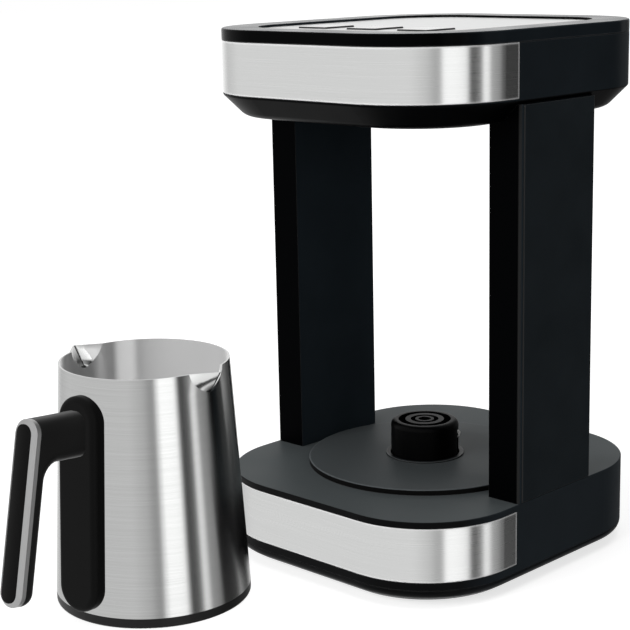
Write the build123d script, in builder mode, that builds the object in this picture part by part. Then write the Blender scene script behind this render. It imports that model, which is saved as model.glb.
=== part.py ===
from build123d import *
import math
import os

# Electric turkish coffee maker with its jug standing beside it, in millimetres.
# The origin is on the power hub's axis, on the surface that the machine stands on.
# +X is to the right of a person facing the machine, +Y runs to its back and +Z is up.

os.makedirs("parts", exist_ok=True)

# ---------------------------------------------------------------- driving dimensions
# Outline that the base and the head share
machine_width = 180.0
front_reach = 96.0  # hub axis to the front wall
rear_reach = 103.0  # hub axis to the back wall
corner_radius = 54.5
shell_wall = 2.5

# Heights, from the floor up
foot_height = 2.0
pan_height = 8.0
pan_roll_height = 5.0
pan_roll_width = 8.0
pan_roll_upper_radius = 5.0
pan_roll_lower_radius = 9.0
base_side_height = 37.5
deck_thickness = 3.0
deck_edge_radius = 0.6
bay_height = 200.0
head_side_height = 41.0
head_roll_height = 12.0
head_roll_width = 12.0
head_roll_upper_radius = 1.2
head_roll_lower_radius = 9.0
cover_height = 6.5
cover_edge_radius = 1.0
parting_bevel = 0.3

# Steel bands round the front of the base and of the head
band_thickness = 0.8
band_bevel = 0.25
base_band_height = 29.5
base_band_drop = 3.5  # deck top to the band's upper edge
head_band_height = 28.0
band_end_lead = 1.5  # how far a band ends ahead of the pillars

# Side pillars
pillar_width = 20.0
pillar_depth = 64.0
pillar_front_y = -29.5
pillar_head_rise = 10.0  # how far a pillar reaches up into the head
pillar_corner_radius = 2.0
pillar_wall = 2.5
pillar_flange = 4.0
ledge_thickness = 2.5
notch_wall = 3.5
panel_thickness = 3.0
panel_groove = 0.6
panel_end_gap = 0.3
panel_edge_radius = 1.0
peg_radius = 2.5
peg_length = 9.0
peg_boss_radius = 4.5
peg_count = 3
peg_pitch = 62.0
peg_y = 2.5

# Platform disc and power hub
disc_radius = 66.5
disc_step = 3.2
disc_crown = 0.7
disc_crown_radius = 24.0
disc_edge_radius = 0.5
hub_radius = 19.3
hub_height = 20.0  # hub top above the crown of the disc
hub_edge_radius = 3.0
hub_flange_radius = 28.0
hub_flange_thickness = 3.0
hub_wall_bore = 15.0
hub_ring_outer = 11.0
hub_ring_bore = 8.0
hub_boss_radius = 5.3
hub_boss_bore = 3.7
hub_groove_depth = 12.5
hub_bore_depth = 15.0
hub_slot_angle = 30.0
hub_slot_width = 4.4
hub_slot_depth = 2.5
hub_slot_height = 14.5
hub_slot_drop = 5.5  # hub top to the slot's upper end
collar_width = 2.8
collar_height = 0.8
collar_edge_radius = 0.3
contact_wall = 0.8
contact_height = 5.5
spring_width = 3.4
spring_thickness = 0.5
spring_reach = 1.2  # how far the spring contact stands out of the hub
spring_bend_drop = 6.0  # spring's top to its lower bend, and to its nose below
spring_nose_drop = 2.6
spring_nose_height = 1.0

# Feet, screws and other hardware of the machine
foot_radius = 7.0
foot_recess = 1.0
foot_bevel = 0.5
foot_side_inset = 30.0  # outline to the feet's centres
foot_front_inset = 32.0
foot_rear_inset = 37.0
screw_radius = 1.5
screw_head_radius = 2.8
screw_head_height = 1.3
screw_recess_radius = 0.9
screw_recess_depth = 0.6
post_radius = 4.0
post_screw_length = 11.0
base_post_side_inset = 16.0  # outline to the screw posts' centres
base_post_front_inset = 58.0
base_post_rear_inset = 59.0
head_post_side_inset = 30.0
head_post_front_inset = 29.0
head_post_rear_inset = 33.0
pillar_screw_front_y = -18.0
pillar_screw_rear_y = 12.0
pillar_screw_inset = 9.0
hub_screw_circle = 23.6
hub_screw_count = 3

# Electrical pieces
board_thickness = 1.6
board_post_radius = 3.0
power_board_width = 100.0
power_board_depth = 64.0
power_board_y = 48.0
power_board_rise = 7.5  # pan floor to the board
power_post_inset = 5.0
control_board_width = 110.0
control_board_depth = 88.0
control_board_y = -20.0
control_board_drop = 8.9  # cover floor to the board
control_post_inset = 7.0
transformer_offset = -25.0  # from the power board's centre, along X
transformer_width = 30.0
transformer_depth = 14.0
transformer_height = 24.0
winding_width = 18.0
winding_depth = 26.0
winding_height = 18.0
winding_corner = 4.0
relay_offset_x = 25.0
relay_offset_y = -4.0
relay_width = 19.0
relay_depth = 16.0
relay_height = 16.0
relay_corner = 1.0
terminal_width = 18.0
terminal_depth = 10.0
terminal_height = 12.0
terminal_pitch = 6.0
terminal_hole_radius = 2.0
terminal_hole_depth = 4.0
gland_x = 24.0
gland_z = 25.0
gland_radius = 6.0
gland_bore = 3.4
gland_flange_radius = 8.5
gland_flange = 2.0
gland_edge_radius = 0.5
harness_y = 22.0
harness_width = 10.0
harness_thickness = 1.6
harness_bend = 6.0
connector_length = 8.0
connector_height = 8.0
cable_hole_length = 14.0
cable_hole_width = 5.0
buzzer_offset_x = -27.5  # from the control board's centre
buzzer_offset_y = 28.0
buzzer_radius = 6.0
buzzer_height = 7.0
buzzer_hole_radius = 1.2
buzzer_hole_depth = 1.5
window_radius = 7.5
window_flange_radius = 10.0
window_flange = 1.2
sensor_width = 26.0
sensor_depth = 18.0
sensor_height = 9.0
sensor_corner = 1.5

# Control plate and push buttons
plate_inset = 20.0
plate_thickness = 1.2
plate_recess = 1.3
cover_floor = 2.5
lip_height = 3.0
lip_thickness = 1.6
button_width = 21.0
button_depth = 23.0
button_corner = 1.5
button_pitch = 35.5
button_row_y = -38.0
button_gap = 0.5
button_rise = 0.7  # how far a button stands above the control plate
button_travel = 0.8
button_flange_width = 1.4
button_flange_thickness = 1.3
button_stem_radius = 2.6
button_edge_radius = 0.2
button_cap_inset = 0.4
button_cap_thickness = 0.6
button_cap_rise = 0.1
switch_size = 6.2
switch_height = 3.4
switch_plunger_radius = 1.7
switch_plunger_rise = 1.1
switch_well_depth = 2.2

# Jug
jug_x = -55.5
jug_y = -159.0
handle_turn = -83.4  # direction of the handle about the jug's axis, from +X
jug_foot_radius = 51.9
jug_rim_radius = 44.6
jug_height = 129.0
jug_skirt_z = 5.5  # lower edge of the steel body
jug_wall = 0.9
lip_width = 26.0
lip_reach = 8.3
lip_depth = 11.6
lip_tip_radius = 1.2
lip_middle_drop = 6.0  # rim to the middle section of a lip
lip_middle_width = 20.8
lip_middle_reach = 4.1
lip_root_width = 6.8
lip_sink = 0.2  # how far a lip's root and side edges lie under the surface
ring_edge = 1.5
ring_seat_width = 4.4
ring_spigot_height = 7.5
bottom_cover_rise = 1.2
bottom_cover_thickness = 2.4
cover_boss_radius = 3.4
cover_boss_circle = 43.4
cover_boss_count = 3
cover_screw_length = 7.0
socket_mouth_z = 2.2
socket_bore_depth = 19.4
socket_wall = 3.7
socket_flange_radius = 27.0
socket_flange = 2.0
socket_roof = 2.9
spreader_thickness = 2.5
spreader_radius = 46.0
floor_thickness = 1.0
element_circle = 36.0
element_radius = 3.2
element_sink = 0.6
element_sweep = 290.0
terminal_radius = 1.4
terminal_length = 8.0
blade_thickness = 0.9
blade_clearance = 0.5
blade_z = 8.0
pin_radius = 1.6
pin_z = 6.0
thermostat_radius = 4.0
thermostat_height = 5.0
thermostat_circle = 28.2

# Handle of the jug
backplate_width = 26.0
backplate_low_z = 7.0
backplate_top_z = 119.5
backplate_proud = 6.0
backplate_edge = 3.0
grip_width = 15.5
grip_corner = 7.4
grip_top_z = 116.5
grip_low_z = 25.5
grip_top_reach = 84.5  # jug axis to the grip's outer face at its top end
grip_low_reach = 103.5
grip_depth = 8.0
grip_edge = 6.5
arm_top_z = 112.8
arm_low_z = 89.5
arm_grip_z = 92.0  # underside of the arm where it meets the grip
arm_bend = 9.0
trim_depth = 4.5
trim_width = 2.3
trim_bevel = 2.0
insert_crown = 0.8
insert_side_drop = 0.5  # trim ring's face to the insert's long edges
handle_screw_inset = 6.6  # arm's upper and lower sides to its screws
handle_screw_lower_z = 19.5
handle_screw_length = 19.0
handle_lower_screw_length = 5.5

# Clearances
seat_gap = 0.1  # between round pieces of one assembly
slip_gap = 0.3  # between pieces that must slide or turn past each other
dock_gap = 0.5  # jug socket round the power hub

# ---------------------------------------------------------------- levels and planes
plan_depth = front_reach + rear_reach
plan_centre_y = (rear_reach - front_reach) / 2
pan_floor_z = foot_height + shell_wall
parting_z = foot_height + pan_height
deck_z = parting_z + base_side_height
deck_under_z = deck_z - deck_thickness
head_bottom_z = deck_z + bay_height
head_floor_z = head_bottom_z + shell_wall
cover_z = head_bottom_z + head_side_height
top_z = cover_z + cover_height
plate_top_z = top_z - plate_recess
plate_under_z = plate_top_z - plate_thickness
cover_floor_z = plate_under_z - cover_floor
pillar_top_z = head_bottom_z + pillar_head_rise
pillar_outer_x = machine_width / 2
pillar_inner_x = pillar_outer_x - pillar_width
pillar_rear_y = pillar_front_y + pillar_depth
pillar_centre_y = (pillar_front_y + pillar_rear_y) / 2
panel_inner_x = pillar_outer_x - panel_thickness
band_end_y = pillar_front_y - band_end_lead
base_band_z = deck_z - base_band_drop - base_band_height
head_band_z = cover_z - head_band_height
disc_rim_z = deck_z + disc_step
disc_crown_z = disc_rim_z + disc_crown
hub_top_z = disc_crown_z + hub_height
hub_groove_z = hub_top_z - hub_groove_depth
hub_hole_z = hub_top_z - hub_bore_depth
disc_bore = hub_radius + slip_gap
screw_hole = screw_radius + seat_gap
power_board_z = pan_floor_z + power_board_rise
control_board_z = cover_floor_z - control_board_drop - board_thickness
cable_hole_x = (pillar_inner_x + pillar_wall + panel_inner_x) / 2


def plan_plane(z):
    """Horizontal plane at height z, centred on the machine's outline."""
    return Plane((0, plan_centre_y, z))


def outline(inset, mode=Mode.ADD):
    """The machine's rounded-rectangle outline, drawn in by an inset."""
    RectangleRounded(machine_width - 2 * inset, plan_depth - 2 * inset, corner_radius - inset, mode=mode)


def band_section(outer_inset, inner_inset):
    """Front part of a strip that follows the outline, ending just ahead of the pillars."""
    outline(outer_inset)
    outline(inner_inset, mode=Mode.SUBTRACT)
    strip_depth = band_end_y + front_reach
    with Locations((0, -plan_depth / 2 + strip_depth / 2)):
        Rectangle(machine_width, strip_depth, mode=Mode.INTERSECT)


def roll_shrink(height, width):
    """How much smaller a rolled edge's two legs are on the inside of the shell's wall."""
    return 1 + shell_wall * (math.hypot(1 / height, 1 / width) - 1 / height - 1 / width)


def corner_points(x, front_y, rear_y):
    """Four plan positions, mirrored left to right."""
    return [(-x, front_y), (x, front_y), (-x, rear_y), (x, rear_y)]


def inset_points(side_inset, front_inset, rear_inset):
    """Four plan positions that keep their distances from the outline's sides."""
    return corner_points(machine_width / 2 - side_inset, front_inset - front_reach, rear_reach - rear_inset)


base_posts = inset_points(base_post_side_inset, base_post_front_inset, base_post_rear_inset)
head_posts = inset_points(head_post_side_inset, head_post_front_inset, head_post_rear_inset)
foot_points = inset_points(foot_side_inset, foot_front_inset, foot_rear_inset)
pillar_screw_x = pillar_outer_x - pillar_screw_inset
pillar_screws = corner_points(pillar_screw_x, pillar_screw_front_y, pillar_screw_rear_y)
power_posts = corner_points(
    power_board_width / 2 - power_post_inset,
    power_board_y - power_board_depth / 2 + power_post_inset,
    power_board_y + power_board_depth / 2 - power_post_inset,
)
control_posts = corner_points(
    control_board_width / 2 - control_post_inset,
    control_board_y - control_board_depth / 2 + control_post_inset,
    control_board_y + control_board_depth / 2 - 2 * control_post_inset,
)

pan_shrink = roll_shrink(pan_roll_height, pan_roll_width)
pan_cavity_legs = (pan_shrink * pan_roll_width, pan_shrink * pan_roll_height)
head_shrink = roll_shrink(head_roll_height, head_roll_width)
head_cavity_legs = (head_shrink * head_roll_width, head_shrink * head_roll_height)

# ---------------------------------------------------------------- base
with BuildPart() as pan_cavity:
    with BuildSketch(plan_plane(pan_floor_z)):
        outline(shell_wall)
    extrude(amount=pan_height)
    cavity_floor = pan_cavity.faces().sort_by(Axis.Z)[0]
    chamfer(cavity_floor.edges(), *pan_cavity_legs, reference=cavity_floor)

with BuildPart() as base_pan:
    with BuildSketch(plan_plane(foot_height)):
        outline(0)
    extrude(amount=pan_height)
    pan_bottom = base_pan.faces().sort_by(Axis.Z)[0]
    chamfer(pan_bottom.edges(), pan_roll_width, pan_roll_height, reference=pan_bottom)
    fillet(base_pan.faces().sort_by(Axis.Z)[0].edges(), pan_roll_lower_radius)
    pan_roll_z = foot_height + pan_roll_height
    upper_bends = base_pan.edges().filter_by_position(Axis.Z, pan_roll_z, pan_roll_z)
    fillet(upper_bends, pan_roll_upper_radius)
    add(pan_cavity.part, mode=Mode.SUBTRACT)
    # posts under the power board
    with BuildSketch(Plane.XY.offset(pan_floor_z)):
        with Locations(*power_posts):
            Circle(board_post_radius)
    extrude(amount=power_board_rise)
    # recesses that hold the rubber feet
    with BuildSketch(Plane.XY.offset(foot_height)):
        with Locations(*foot_points):
            Circle(foot_radius + seat_gap)
    extrude(amount=foot_recess, mode=Mode.SUBTRACT)
    # counterbored holes for the pan screws
    with BuildSketch(Plane.XY.offset(foot_height)):
        with Locations(*base_posts):
            Circle(screw_head_radius + seat_gap)
    extrude(amount=screw_head_height, mode=Mode.SUBTRACT)
    with BuildSketch(Plane.XY.offset(foot_height)):
        with Locations(*base_posts):
            Circle(screw_hole)
    extrude(amount=pan_height, mode=Mode.SUBTRACT)
base_pan.part.label = "base_pan"
export_step(base_pan.part, "parts/base_pan.step")

with BuildPart() as base_housing:
    with BuildSketch(plan_plane(parting_z)):
        outline(0)
    extrude(amount=base_side_height)
    fillet(base_housing.faces().sort_by(Axis.Z)[-1].edges(), deck_edge_radius)
    chamfer(base_housing.faces().sort_by(Axis.Z)[0].edges(), parting_bevel)
    with BuildSketch(plan_plane(parting_z)):
        outline(shell_wall)
    extrude(amount=base_side_height - deck_thickness, mode=Mode.SUBTRACT)
    # screw posts down to the pan
    with BuildSketch(Plane.XY.offset(pan_floor_z)):
        with Locations(*base_posts):
            Circle(post_radius)
    extrude(amount=deck_under_z - pan_floor_z)
    with BuildSketch(Plane.XY.offset(pan_floor_z)):
        with Locations(*base_posts):
            Circle(screw_hole)
    extrude(amount=post_screw_length, mode=Mode.SUBTRACT)
    # recess for the steel band
    with BuildSketch(plan_plane(base_band_z)):
        band_section(0, band_thickness)
    extrude(amount=base_band_height, mode=Mode.SUBTRACT)
    # hub opening, pillar screw holes and the harness holes through the deck
    with BuildSketch(Plane.XY.offset(deck_under_z)):
        Circle(disc_bore)
        with Locations(*pillar_screws):
            Circle(screw_hole)
        with Locations((-cable_hole_x, harness_y), (cable_hole_x, harness_y)):
            Rectangle(cable_hole_width, cable_hole_length)
        with PolarLocations(hub_screw_circle, hub_screw_count):
            Circle(screw_hole)
    extrude(amount=deck_thickness, mode=Mode.SUBTRACT)
    # hole for the cord gland in the back wall
    with BuildSketch(Plane((gland_x, rear_reach, gland_z), x_dir=(-1, 0, 0), z_dir=(0, 1, 0))):
        Circle(gland_radius + seat_gap)
    extrude(amount=-shell_wall, mode=Mode.SUBTRACT)
base_housing.part.label = "base_housing"
export_step(base_housing.part, "parts/base_housing.step")

for band_name, band_z, band_height in (
    ("base_front_band", base_band_z, base_band_height),
    ("head_front_band", head_band_z, head_band_height),
):
    with BuildPart() as front_band:
        with BuildSketch(plan_plane(band_z)):
            band_section(0, band_thickness)
        extrude(amount=band_height)
        for rim in (front_band.faces().sort_by(Axis.Z)[0], front_band.faces().sort_by(Axis.Z)[-1]):
            outer_rim = rim.edges().filter_by(GeomType.CIRCLE).sort_by(SortBy.RADIUS)[-2:]
            front_rim = rim.edges().filter_by(Axis.X).sort_by(Axis.Y)[0]
            side_rims = rim.edges().filter_by(Axis.Y).sort_by(Axis.X)
            chamfer(outer_rim + [front_rim, side_rims[0], side_rims[-1]], band_bevel)
    front_band.part.label = band_name
    export_step(front_band.part, f"parts/{band_name}.step")

with BuildPart() as rubber_feet:
    with BuildSketch():
        with Locations(*foot_points):
            Circle(foot_radius)
    extrude(amount=foot_height + foot_recess)
    chamfer(rubber_feet.faces().filter_by(Axis.Z).group_by(Axis.Z)[0].edges(), foot_bevel)
rubber_feet.part.label = "rubber_feet"
export_step(rubber_feet.part, "parts/rubber_feet.step")


upright = (Align.CENTER, Align.CENTER, Align.MIN)
hanging = (Align.CENTER, Align.CENTER, Align.MAX)


def screw(seat, length):
    """A pan-head screw: its head rests on the seat plane and its shank runs along the plane's +Z."""
    with Locations(seat):
        Cylinder(screw_radius, length, align=upright)
        Cylinder(screw_head_radius, screw_head_height, align=hanging)
    with Locations(seat.offset(-screw_head_height)):
        Cylinder(screw_recess_radius, screw_recess_depth, align=upright, mode=Mode.SUBTRACT)


with BuildPart() as base_screws:
    for x, y in base_posts:
        screw(Plane((x, y, foot_height + screw_head_height)), post_screw_length)
base_screws.part.label = "base_screws"
export_step(base_screws.part, "parts/base_screws.step")

# ---------------------------------------------------------------- platform disc and power hub
with BuildPart() as platform_disc:
    with BuildSketch(Plane.XZ):
        with BuildLine():
            Polyline(
                (disc_bore, deck_z),
                (disc_radius, deck_z),
                (disc_radius, disc_rim_z),
                (disc_crown_radius, disc_crown_z),
                (disc_bore, disc_crown_z),
                close=True,
            )
        make_face()
    revolve(axis=Axis.Z)
    fillet(platform_disc.edges().filter_by_position(Axis.Z, disc_rim_z, disc_rim_z), disc_edge_radius)
platform_disc.part.label = "platform_disc"
export_step(platform_disc.part, "parts/platform_disc.step")

with BuildPart() as hub_collar:
    with BuildSketch(Plane.XY.offset(disc_crown_z)):
        Circle(disc_bore + collar_width)
        Circle(disc_bore, mode=Mode.SUBTRACT)
    extrude(amount=collar_height)
    fillet(hub_collar.faces().sort_by(Axis.Z)[-1].edges(), collar_edge_radius)
hub_collar.part.label = "hub_collar"
export_step(hub_collar.part, "parts/hub_collar.step")

hub_flange_z = deck_under_z - hub_flange_thickness
hub_slot_top_z = hub_top_z - hub_slot_drop
hub_slot_z = hub_slot_top_z - hub_slot_height
slot_plane = Plane.XZ.rotated((0, 0, hub_slot_angle))

with BuildPart() as power_hub:
    with BuildSketch(Plane.XY.offset(hub_flange_z)):
        Circle(hub_flange_radius)
    extrude(amount=hub_flange_thickness)
    with BuildSketch(Plane.XY.offset(deck_under_z)):
        Circle(hub_radius)
    extrude(amount=hub_top_z - deck_under_z)
    fillet(power_hub.faces().sort_by(Axis.Z)[-1].edges(), hub_edge_radius)
    # concentric grooves and the centre bore
    with BuildSketch(Plane.XY.offset(hub_top_z)):
        Circle(hub_wall_bore)
        Circle(hub_ring_outer, mode=Mode.SUBTRACT)
        Circle(hub_ring_bore)
        Circle(hub_boss_radius, mode=Mode.SUBTRACT)
    extrude(amount=-hub_groove_depth, mode=Mode.SUBTRACT)
    with BuildSketch(Plane.XY.offset(hub_top_z)):
        Circle(hub_boss_bore)
    extrude(amount=-hub_bore_depth, mode=Mode.SUBTRACT)
    # upright slot for the spring contact
    with BuildSketch(slot_plane):
        with Locations((hub_radius, hub_slot_z + hub_slot_height / 2)):
            Rectangle(2 * hub_slot_depth, hub_slot_height)
    extrude(amount=hub_slot_width / 2, both=True, mode=Mode.SUBTRACT)
    with BuildSketch(Plane.XY.offset(hub_flange_z)):
        with PolarLocations(hub_screw_circle, hub_screw_count):
            Circle(screw_hole)
    extrude(amount=hub_flange_thickness, mode=Mode.SUBTRACT)
power_hub.part.label = "power_hub"
export_step(power_hub.part, "parts/power_hub.step")

with BuildPart() as hub_screws:
    for spot in PolarLocations(hub_screw_circle, hub_screw_count):
        screw(Plane(spot).offset(hub_flange_z), hub_flange_thickness + deck_thickness)
hub_screws.part.label = "hub_screws"
export_step(hub_screws.part, "parts/hub_screws.step")

with BuildPart() as hub_ring_contacts:
    with BuildSketch(Plane.XY.offset(hub_groove_z)):
        Circle(hub_wall_bore)
        Circle(hub_wall_bore - contact_wall, mode=Mode.SUBTRACT)
        Circle(hub_ring_bore)
        Circle(hub_ring_bore - contact_wall, mode=Mode.SUBTRACT)
    extrude(amount=contact_height)
hub_ring_contacts.part.label = "hub_ring_contacts"
export_step(hub_ring_contacts.part, "parts/hub_ring_contacts.step")

with BuildPart() as hub_centre_contact:
    with BuildSketch(Plane.XY.offset(hub_hole_z)):
        Circle(hub_boss_bore)
        Circle(hub_boss_bore - contact_wall, mode=Mode.SUBTRACT)
    extrude(amount=contact_height)
hub_centre_contact.part.label = "hub_centre_contact"
export_step(hub_centre_contact.part, "parts/hub_centre_contact.step")

spring_back = hub_radius - hub_slot_depth
spring_front = spring_back + spring_thickness
spring_nose = hub_radius + spring_reach
spring_bent_thickness = spring_thickness * math.sqrt(2)
spring_top_z = hub_slot_top_z - slip_gap
with BuildPart() as hub_side_contact:
    with BuildSketch(slot_plane):
        with BuildLine():
            Polyline(
                (spring_back, hub_slot_z),
                (spring_front, hub_slot_z),
                (spring_front, spring_top_z - spring_bend_drop),
                (spring_nose, spring_top_z - spring_nose_drop),
                (spring_nose, spring_top_z - spring_nose_drop + spring_nose_height),
                (hub_radius - spring_thickness, spring_top_z),
                (hub_radius - 2 * spring_thickness, spring_top_z),
                (spring_nose - spring_bent_thickness, spring_top_z - spring_nose_drop + spring_thickness),
                (spring_back, spring_top_z - spring_bend_drop),
                close=True,
            )
        make_face()
    extrude(amount=spring_width / 2, both=True)
hub_side_contact.part.label = "hub_side_contact"
export_step(hub_side_contact.part, "parts/hub_side_contact.step")

# ---------------------------------------------------------------- pillars
channel_height = pillar_top_z - deck_z
channel_inner_x = pillar_inner_x + pillar_wall
channel_front_y = pillar_front_y + pillar_wall
channel_rear_y = pillar_rear_y - pillar_wall
peg_heights = [deck_z + channel_height / 2 + peg_pitch * (n - (peg_count - 1) / 2) for n in range(peg_count)]
panel_low_z = deck_z + panel_end_gap
panel_height = channel_height - 2 * panel_end_gap
panel_front_y = channel_front_y + panel_groove


def plan_box(x0, x1, y0, y1, mode=Mode.ADD):
    """A rectangle of a sketch given by its sides."""
    with Locations(((x0 + x1) / 2, (y0 + y1) / 2)):
        Rectangle(x1 - x0, y1 - y0, mode=mode)


with BuildPart() as right_pillar_channel:
    with BuildSketch(Plane.XY.offset(deck_z)):
        plan_box(pillar_inner_x, pillar_outer_x, pillar_front_y, pillar_rear_y)
        plan_box(channel_inner_x, pillar_outer_x, channel_front_y, channel_rear_y, Mode.SUBTRACT)
        plan_box(panel_inner_x, pillar_outer_x, channel_front_y, pillar_rear_y, Mode.SUBTRACT)
    extrude(amount=channel_height)
    front_edges = right_pillar_channel.edges().filter_by(Axis.Z).group_by(Axis.Y)[0]
    fillet(front_edges.sort_by(Axis.X)[-1], pillar_corner_radius)
    # end flanges that the screws go through, with a hole for the harness
    for flange_z in (deck_z, pillar_top_z - pillar_flange):
        with BuildSketch(Plane.XY.offset(flange_z)):
            plan_box(channel_inner_x, panel_inner_x, channel_front_y, channel_rear_y)
            with Locations((pillar_screw_x, pillar_screw_front_y), (pillar_screw_x, pillar_screw_rear_y)):
                Circle(screw_hole, mode=Mode.SUBTRACT)
            with Locations((cable_hole_x, harness_y)):
                Rectangle(cable_hole_width, cable_hole_length, mode=Mode.SUBTRACT)
        extrude(amount=pillar_flange)
    # sockets for the panel's pegs
    for peg_z in peg_heights:
        with BuildSketch(Plane((channel_inner_x, peg_y, peg_z), x_dir=(0, 1, 0), z_dir=(1, 0, 0))):
            Circle(peg_boss_radius)
            Circle(peg_radius + seat_gap, mode=Mode.SUBTRACT)
        extrude(amount=panel_inner_x - channel_inner_x)

with BuildPart() as right_side_panel:
    with BuildSketch(Plane.XY.offset(panel_low_z)):
        plan_box(panel_inner_x, pillar_outer_x, panel_front_y, pillar_rear_y)
    extrude(amount=panel_height)
    outer_edges = right_side_panel.faces().sort_by(Axis.X)[-1].edges().filter_by(Axis.Z)
    fillet(outer_edges, panel_edge_radius)
    for peg_z in peg_heights:
        with BuildSketch(Plane((panel_inner_x, peg_y, peg_z), x_dir=(0, 1, 0), z_dir=(1, 0, 0))):
            Circle(peg_radius)
        extrude(amount=-peg_length)

with BuildPart() as left_pillar_channel:
    mirror(right_pillar_channel.part, about=Plane.YZ)

with BuildPart() as left_side_panel:
    mirror(right_side_panel.part, about=Plane.YZ)

for pillar_piece, pillar_name in (
    (right_pillar_channel, "right_pillar_channel"),
    (right_side_panel, "right_side_panel"),
    (left_pillar_channel, "left_pillar_channel"),
    (left_side_panel, "left_side_panel"),
):
    pillar_piece.part.label = pillar_name
    export_step(pillar_piece.part, f"parts/{pillar_name}.step")

with BuildPart() as pillar_base_screws:
    for x, y in pillar_screws:
        screw(Plane((x, y, deck_under_z)), deck_thickness + pillar_flange)
pillar_base_screws.part.label = "pillar_base_screws"
export_step(pillar_base_screws.part, "parts/pillar_base_screws.step")

ledge_top_z = pillar_top_z + ledge_thickness
with BuildPart() as pillar_head_screws:
    for x, y in pillar_screws:
        screw(Plane((x, y, ledge_top_z), z_dir=(0, 0, -1)), ledge_thickness + pillar_flange)
pillar_head_screws.part.label = "pillar_head_screws"
export_step(pillar_head_screws.part, "parts/pillar_head_screws.step")

# ---------------------------------------------------------------- head
with BuildPart() as head_cavity:
    with BuildSketch(plan_plane(head_floor_z)):
        outline(shell_wall)
    extrude(amount=head_side_height)
    cavity_floor = head_cavity.faces().sort_by(Axis.Z)[0]
    chamfer(cavity_floor.edges(), *head_cavity_legs, reference=cavity_floor)
    # walls and roof round the tops of the pillars stay solid
    for side in (-1, 1):
        with BuildSketch(Plane.XY.offset(head_bottom_z)):
            with Locations((side * pillar_outer_x, pillar_centre_y)):
                Rectangle(2 * (pillar_width + notch_wall), pillar_depth + 2 * notch_wall)
        extrude(amount=ledge_top_z - head_bottom_z, mode=Mode.SUBTRACT)

with BuildPart() as head_lower_shell:
    with BuildSketch(plan_plane(head_bottom_z)):
        outline(0)
    extrude(amount=head_side_height)
    chamfer(head_lower_shell.faces().sort_by(Axis.Z)[-1].edges(), parting_bevel)
    head_bottom = head_lower_shell.faces().sort_by(Axis.Z)[0]
    chamfer(head_bottom.edges(), head_roll_width, head_roll_height, reference=head_bottom)
    fillet(head_lower_shell.faces().sort_by(Axis.Z)[0].edges(), head_roll_lower_radius)
    head_roll_z = head_bottom_z + head_roll_height
    upper_bends = head_lower_shell.edges().filter_by_position(Axis.Z, head_roll_z, head_roll_z)
    fillet(upper_bends, head_roll_upper_radius)
    add(head_cavity.part, mode=Mode.SUBTRACT)
    # notches that the pillars stand in
    for side in (-1, 1):
        with BuildSketch(Plane.XY.offset(head_bottom_z)):
            with Locations((side * pillar_outer_x, pillar_centre_y)):
                Rectangle(2 * (pillar_width + seat_gap), pillar_depth + 2 * seat_gap)
        extrude(amount=pillar_head_rise, mode=Mode.SUBTRACT)
    # screw and harness holes through the roofs of the notches
    with BuildSketch(Plane.XY.offset(pillar_top_z)):
        with Locations(*pillar_screws):
            Circle(screw_hole)
        with Locations((cable_hole_x, harness_y)):
            Rectangle(cable_hole_width, cable_hole_length)
    extrude(amount=ledge_thickness, mode=Mode.SUBTRACT)
    # recess for the steel band
    with BuildSketch(plan_plane(head_band_z)):
        band_section(0, band_thickness)
    extrude(amount=head_band_height, mode=Mode.SUBTRACT)
    # sensor window above the hub, and counterbored holes for the cover's screws
    with BuildSketch(Plane.XY.offset(head_bottom_z)):
        Circle(window_radius + seat_gap)
        with Locations(*head_posts):
            Circle(screw_hole)
    extrude(amount=shell_wall, mode=Mode.SUBTRACT)
    with BuildSketch(Plane.XY.offset(head_bottom_z)):
        with Locations(*head_posts):
            Circle(screw_head_radius + seat_gap)
    extrude(amount=screw_head_height, mode=Mode.SUBTRACT)
head_lower_shell.part.label = "head_lower_shell"
export_step(head_lower_shell.part, "parts/head_lower_shell.step")

button_points = [(button_pitch * n, button_row_y) for n in (-1, 0, 1)]
opening_width = button_width + 2 * button_gap
opening_depth = button_depth + 2 * button_gap
opening_corner = button_corner + button_gap

with BuildPart() as head_top_cover:
    with BuildSketch(plan_plane(cover_z)):
        outline(0)
    extrude(amount=cover_height)
    fillet(head_top_cover.faces().sort_by(Axis.Z)[-1].edges(), cover_edge_radius)
    chamfer(head_top_cover.faces().sort_by(Axis.Z)[0].edges(), parting_bevel)
    # pocket for the control plate, and the hollow under the cover's floor
    with BuildSketch(plan_plane(plate_under_z)):
        outline(plate_inset)
    extrude(amount=top_z - plate_under_z, mode=Mode.SUBTRACT)
    with BuildSketch(plan_plane(cover_z)):
        outline(shell_wall)
    extrude(amount=cover_floor_z - cover_z, mode=Mode.SUBTRACT)
    # locating lip inside the lower shell
    with BuildSketch(plan_plane(cover_z - lip_height)):
        outline(shell_wall + seat_gap)
        outline(shell_wall + seat_gap + lip_thickness, mode=Mode.SUBTRACT)
    extrude(amount=cover_floor_z - cover_z + lip_height)
    # long posts down to the head's floor, short posts down to the control board
    with BuildSketch(Plane.XY.offset(head_floor_z)):
        with Locations(*head_posts):
            Circle(post_radius)
    extrude(amount=cover_floor_z - head_floor_z)
    with BuildSketch(Plane.XY.offset(head_floor_z)):
        with Locations(*head_posts):
            Circle(screw_hole)
    extrude(amount=post_screw_length, mode=Mode.SUBTRACT)
    with BuildSketch(Plane.XY.offset(control_board_z + board_thickness)):
        with Locations(*control_posts):
            Circle(board_post_radius)
            Circle(screw_hole, mode=Mode.SUBTRACT)
    extrude(amount=control_board_drop)
    with BuildSketch(Plane.XY.offset(cover_floor_z)):
        with Locations(*button_points):
            RectangleRounded(opening_width, opening_depth, opening_corner)
    extrude(amount=cover_floor, mode=Mode.SUBTRACT)
head_top_cover.part.label = "head_top_cover"
export_step(head_top_cover.part, "parts/head_top_cover.step")

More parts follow.
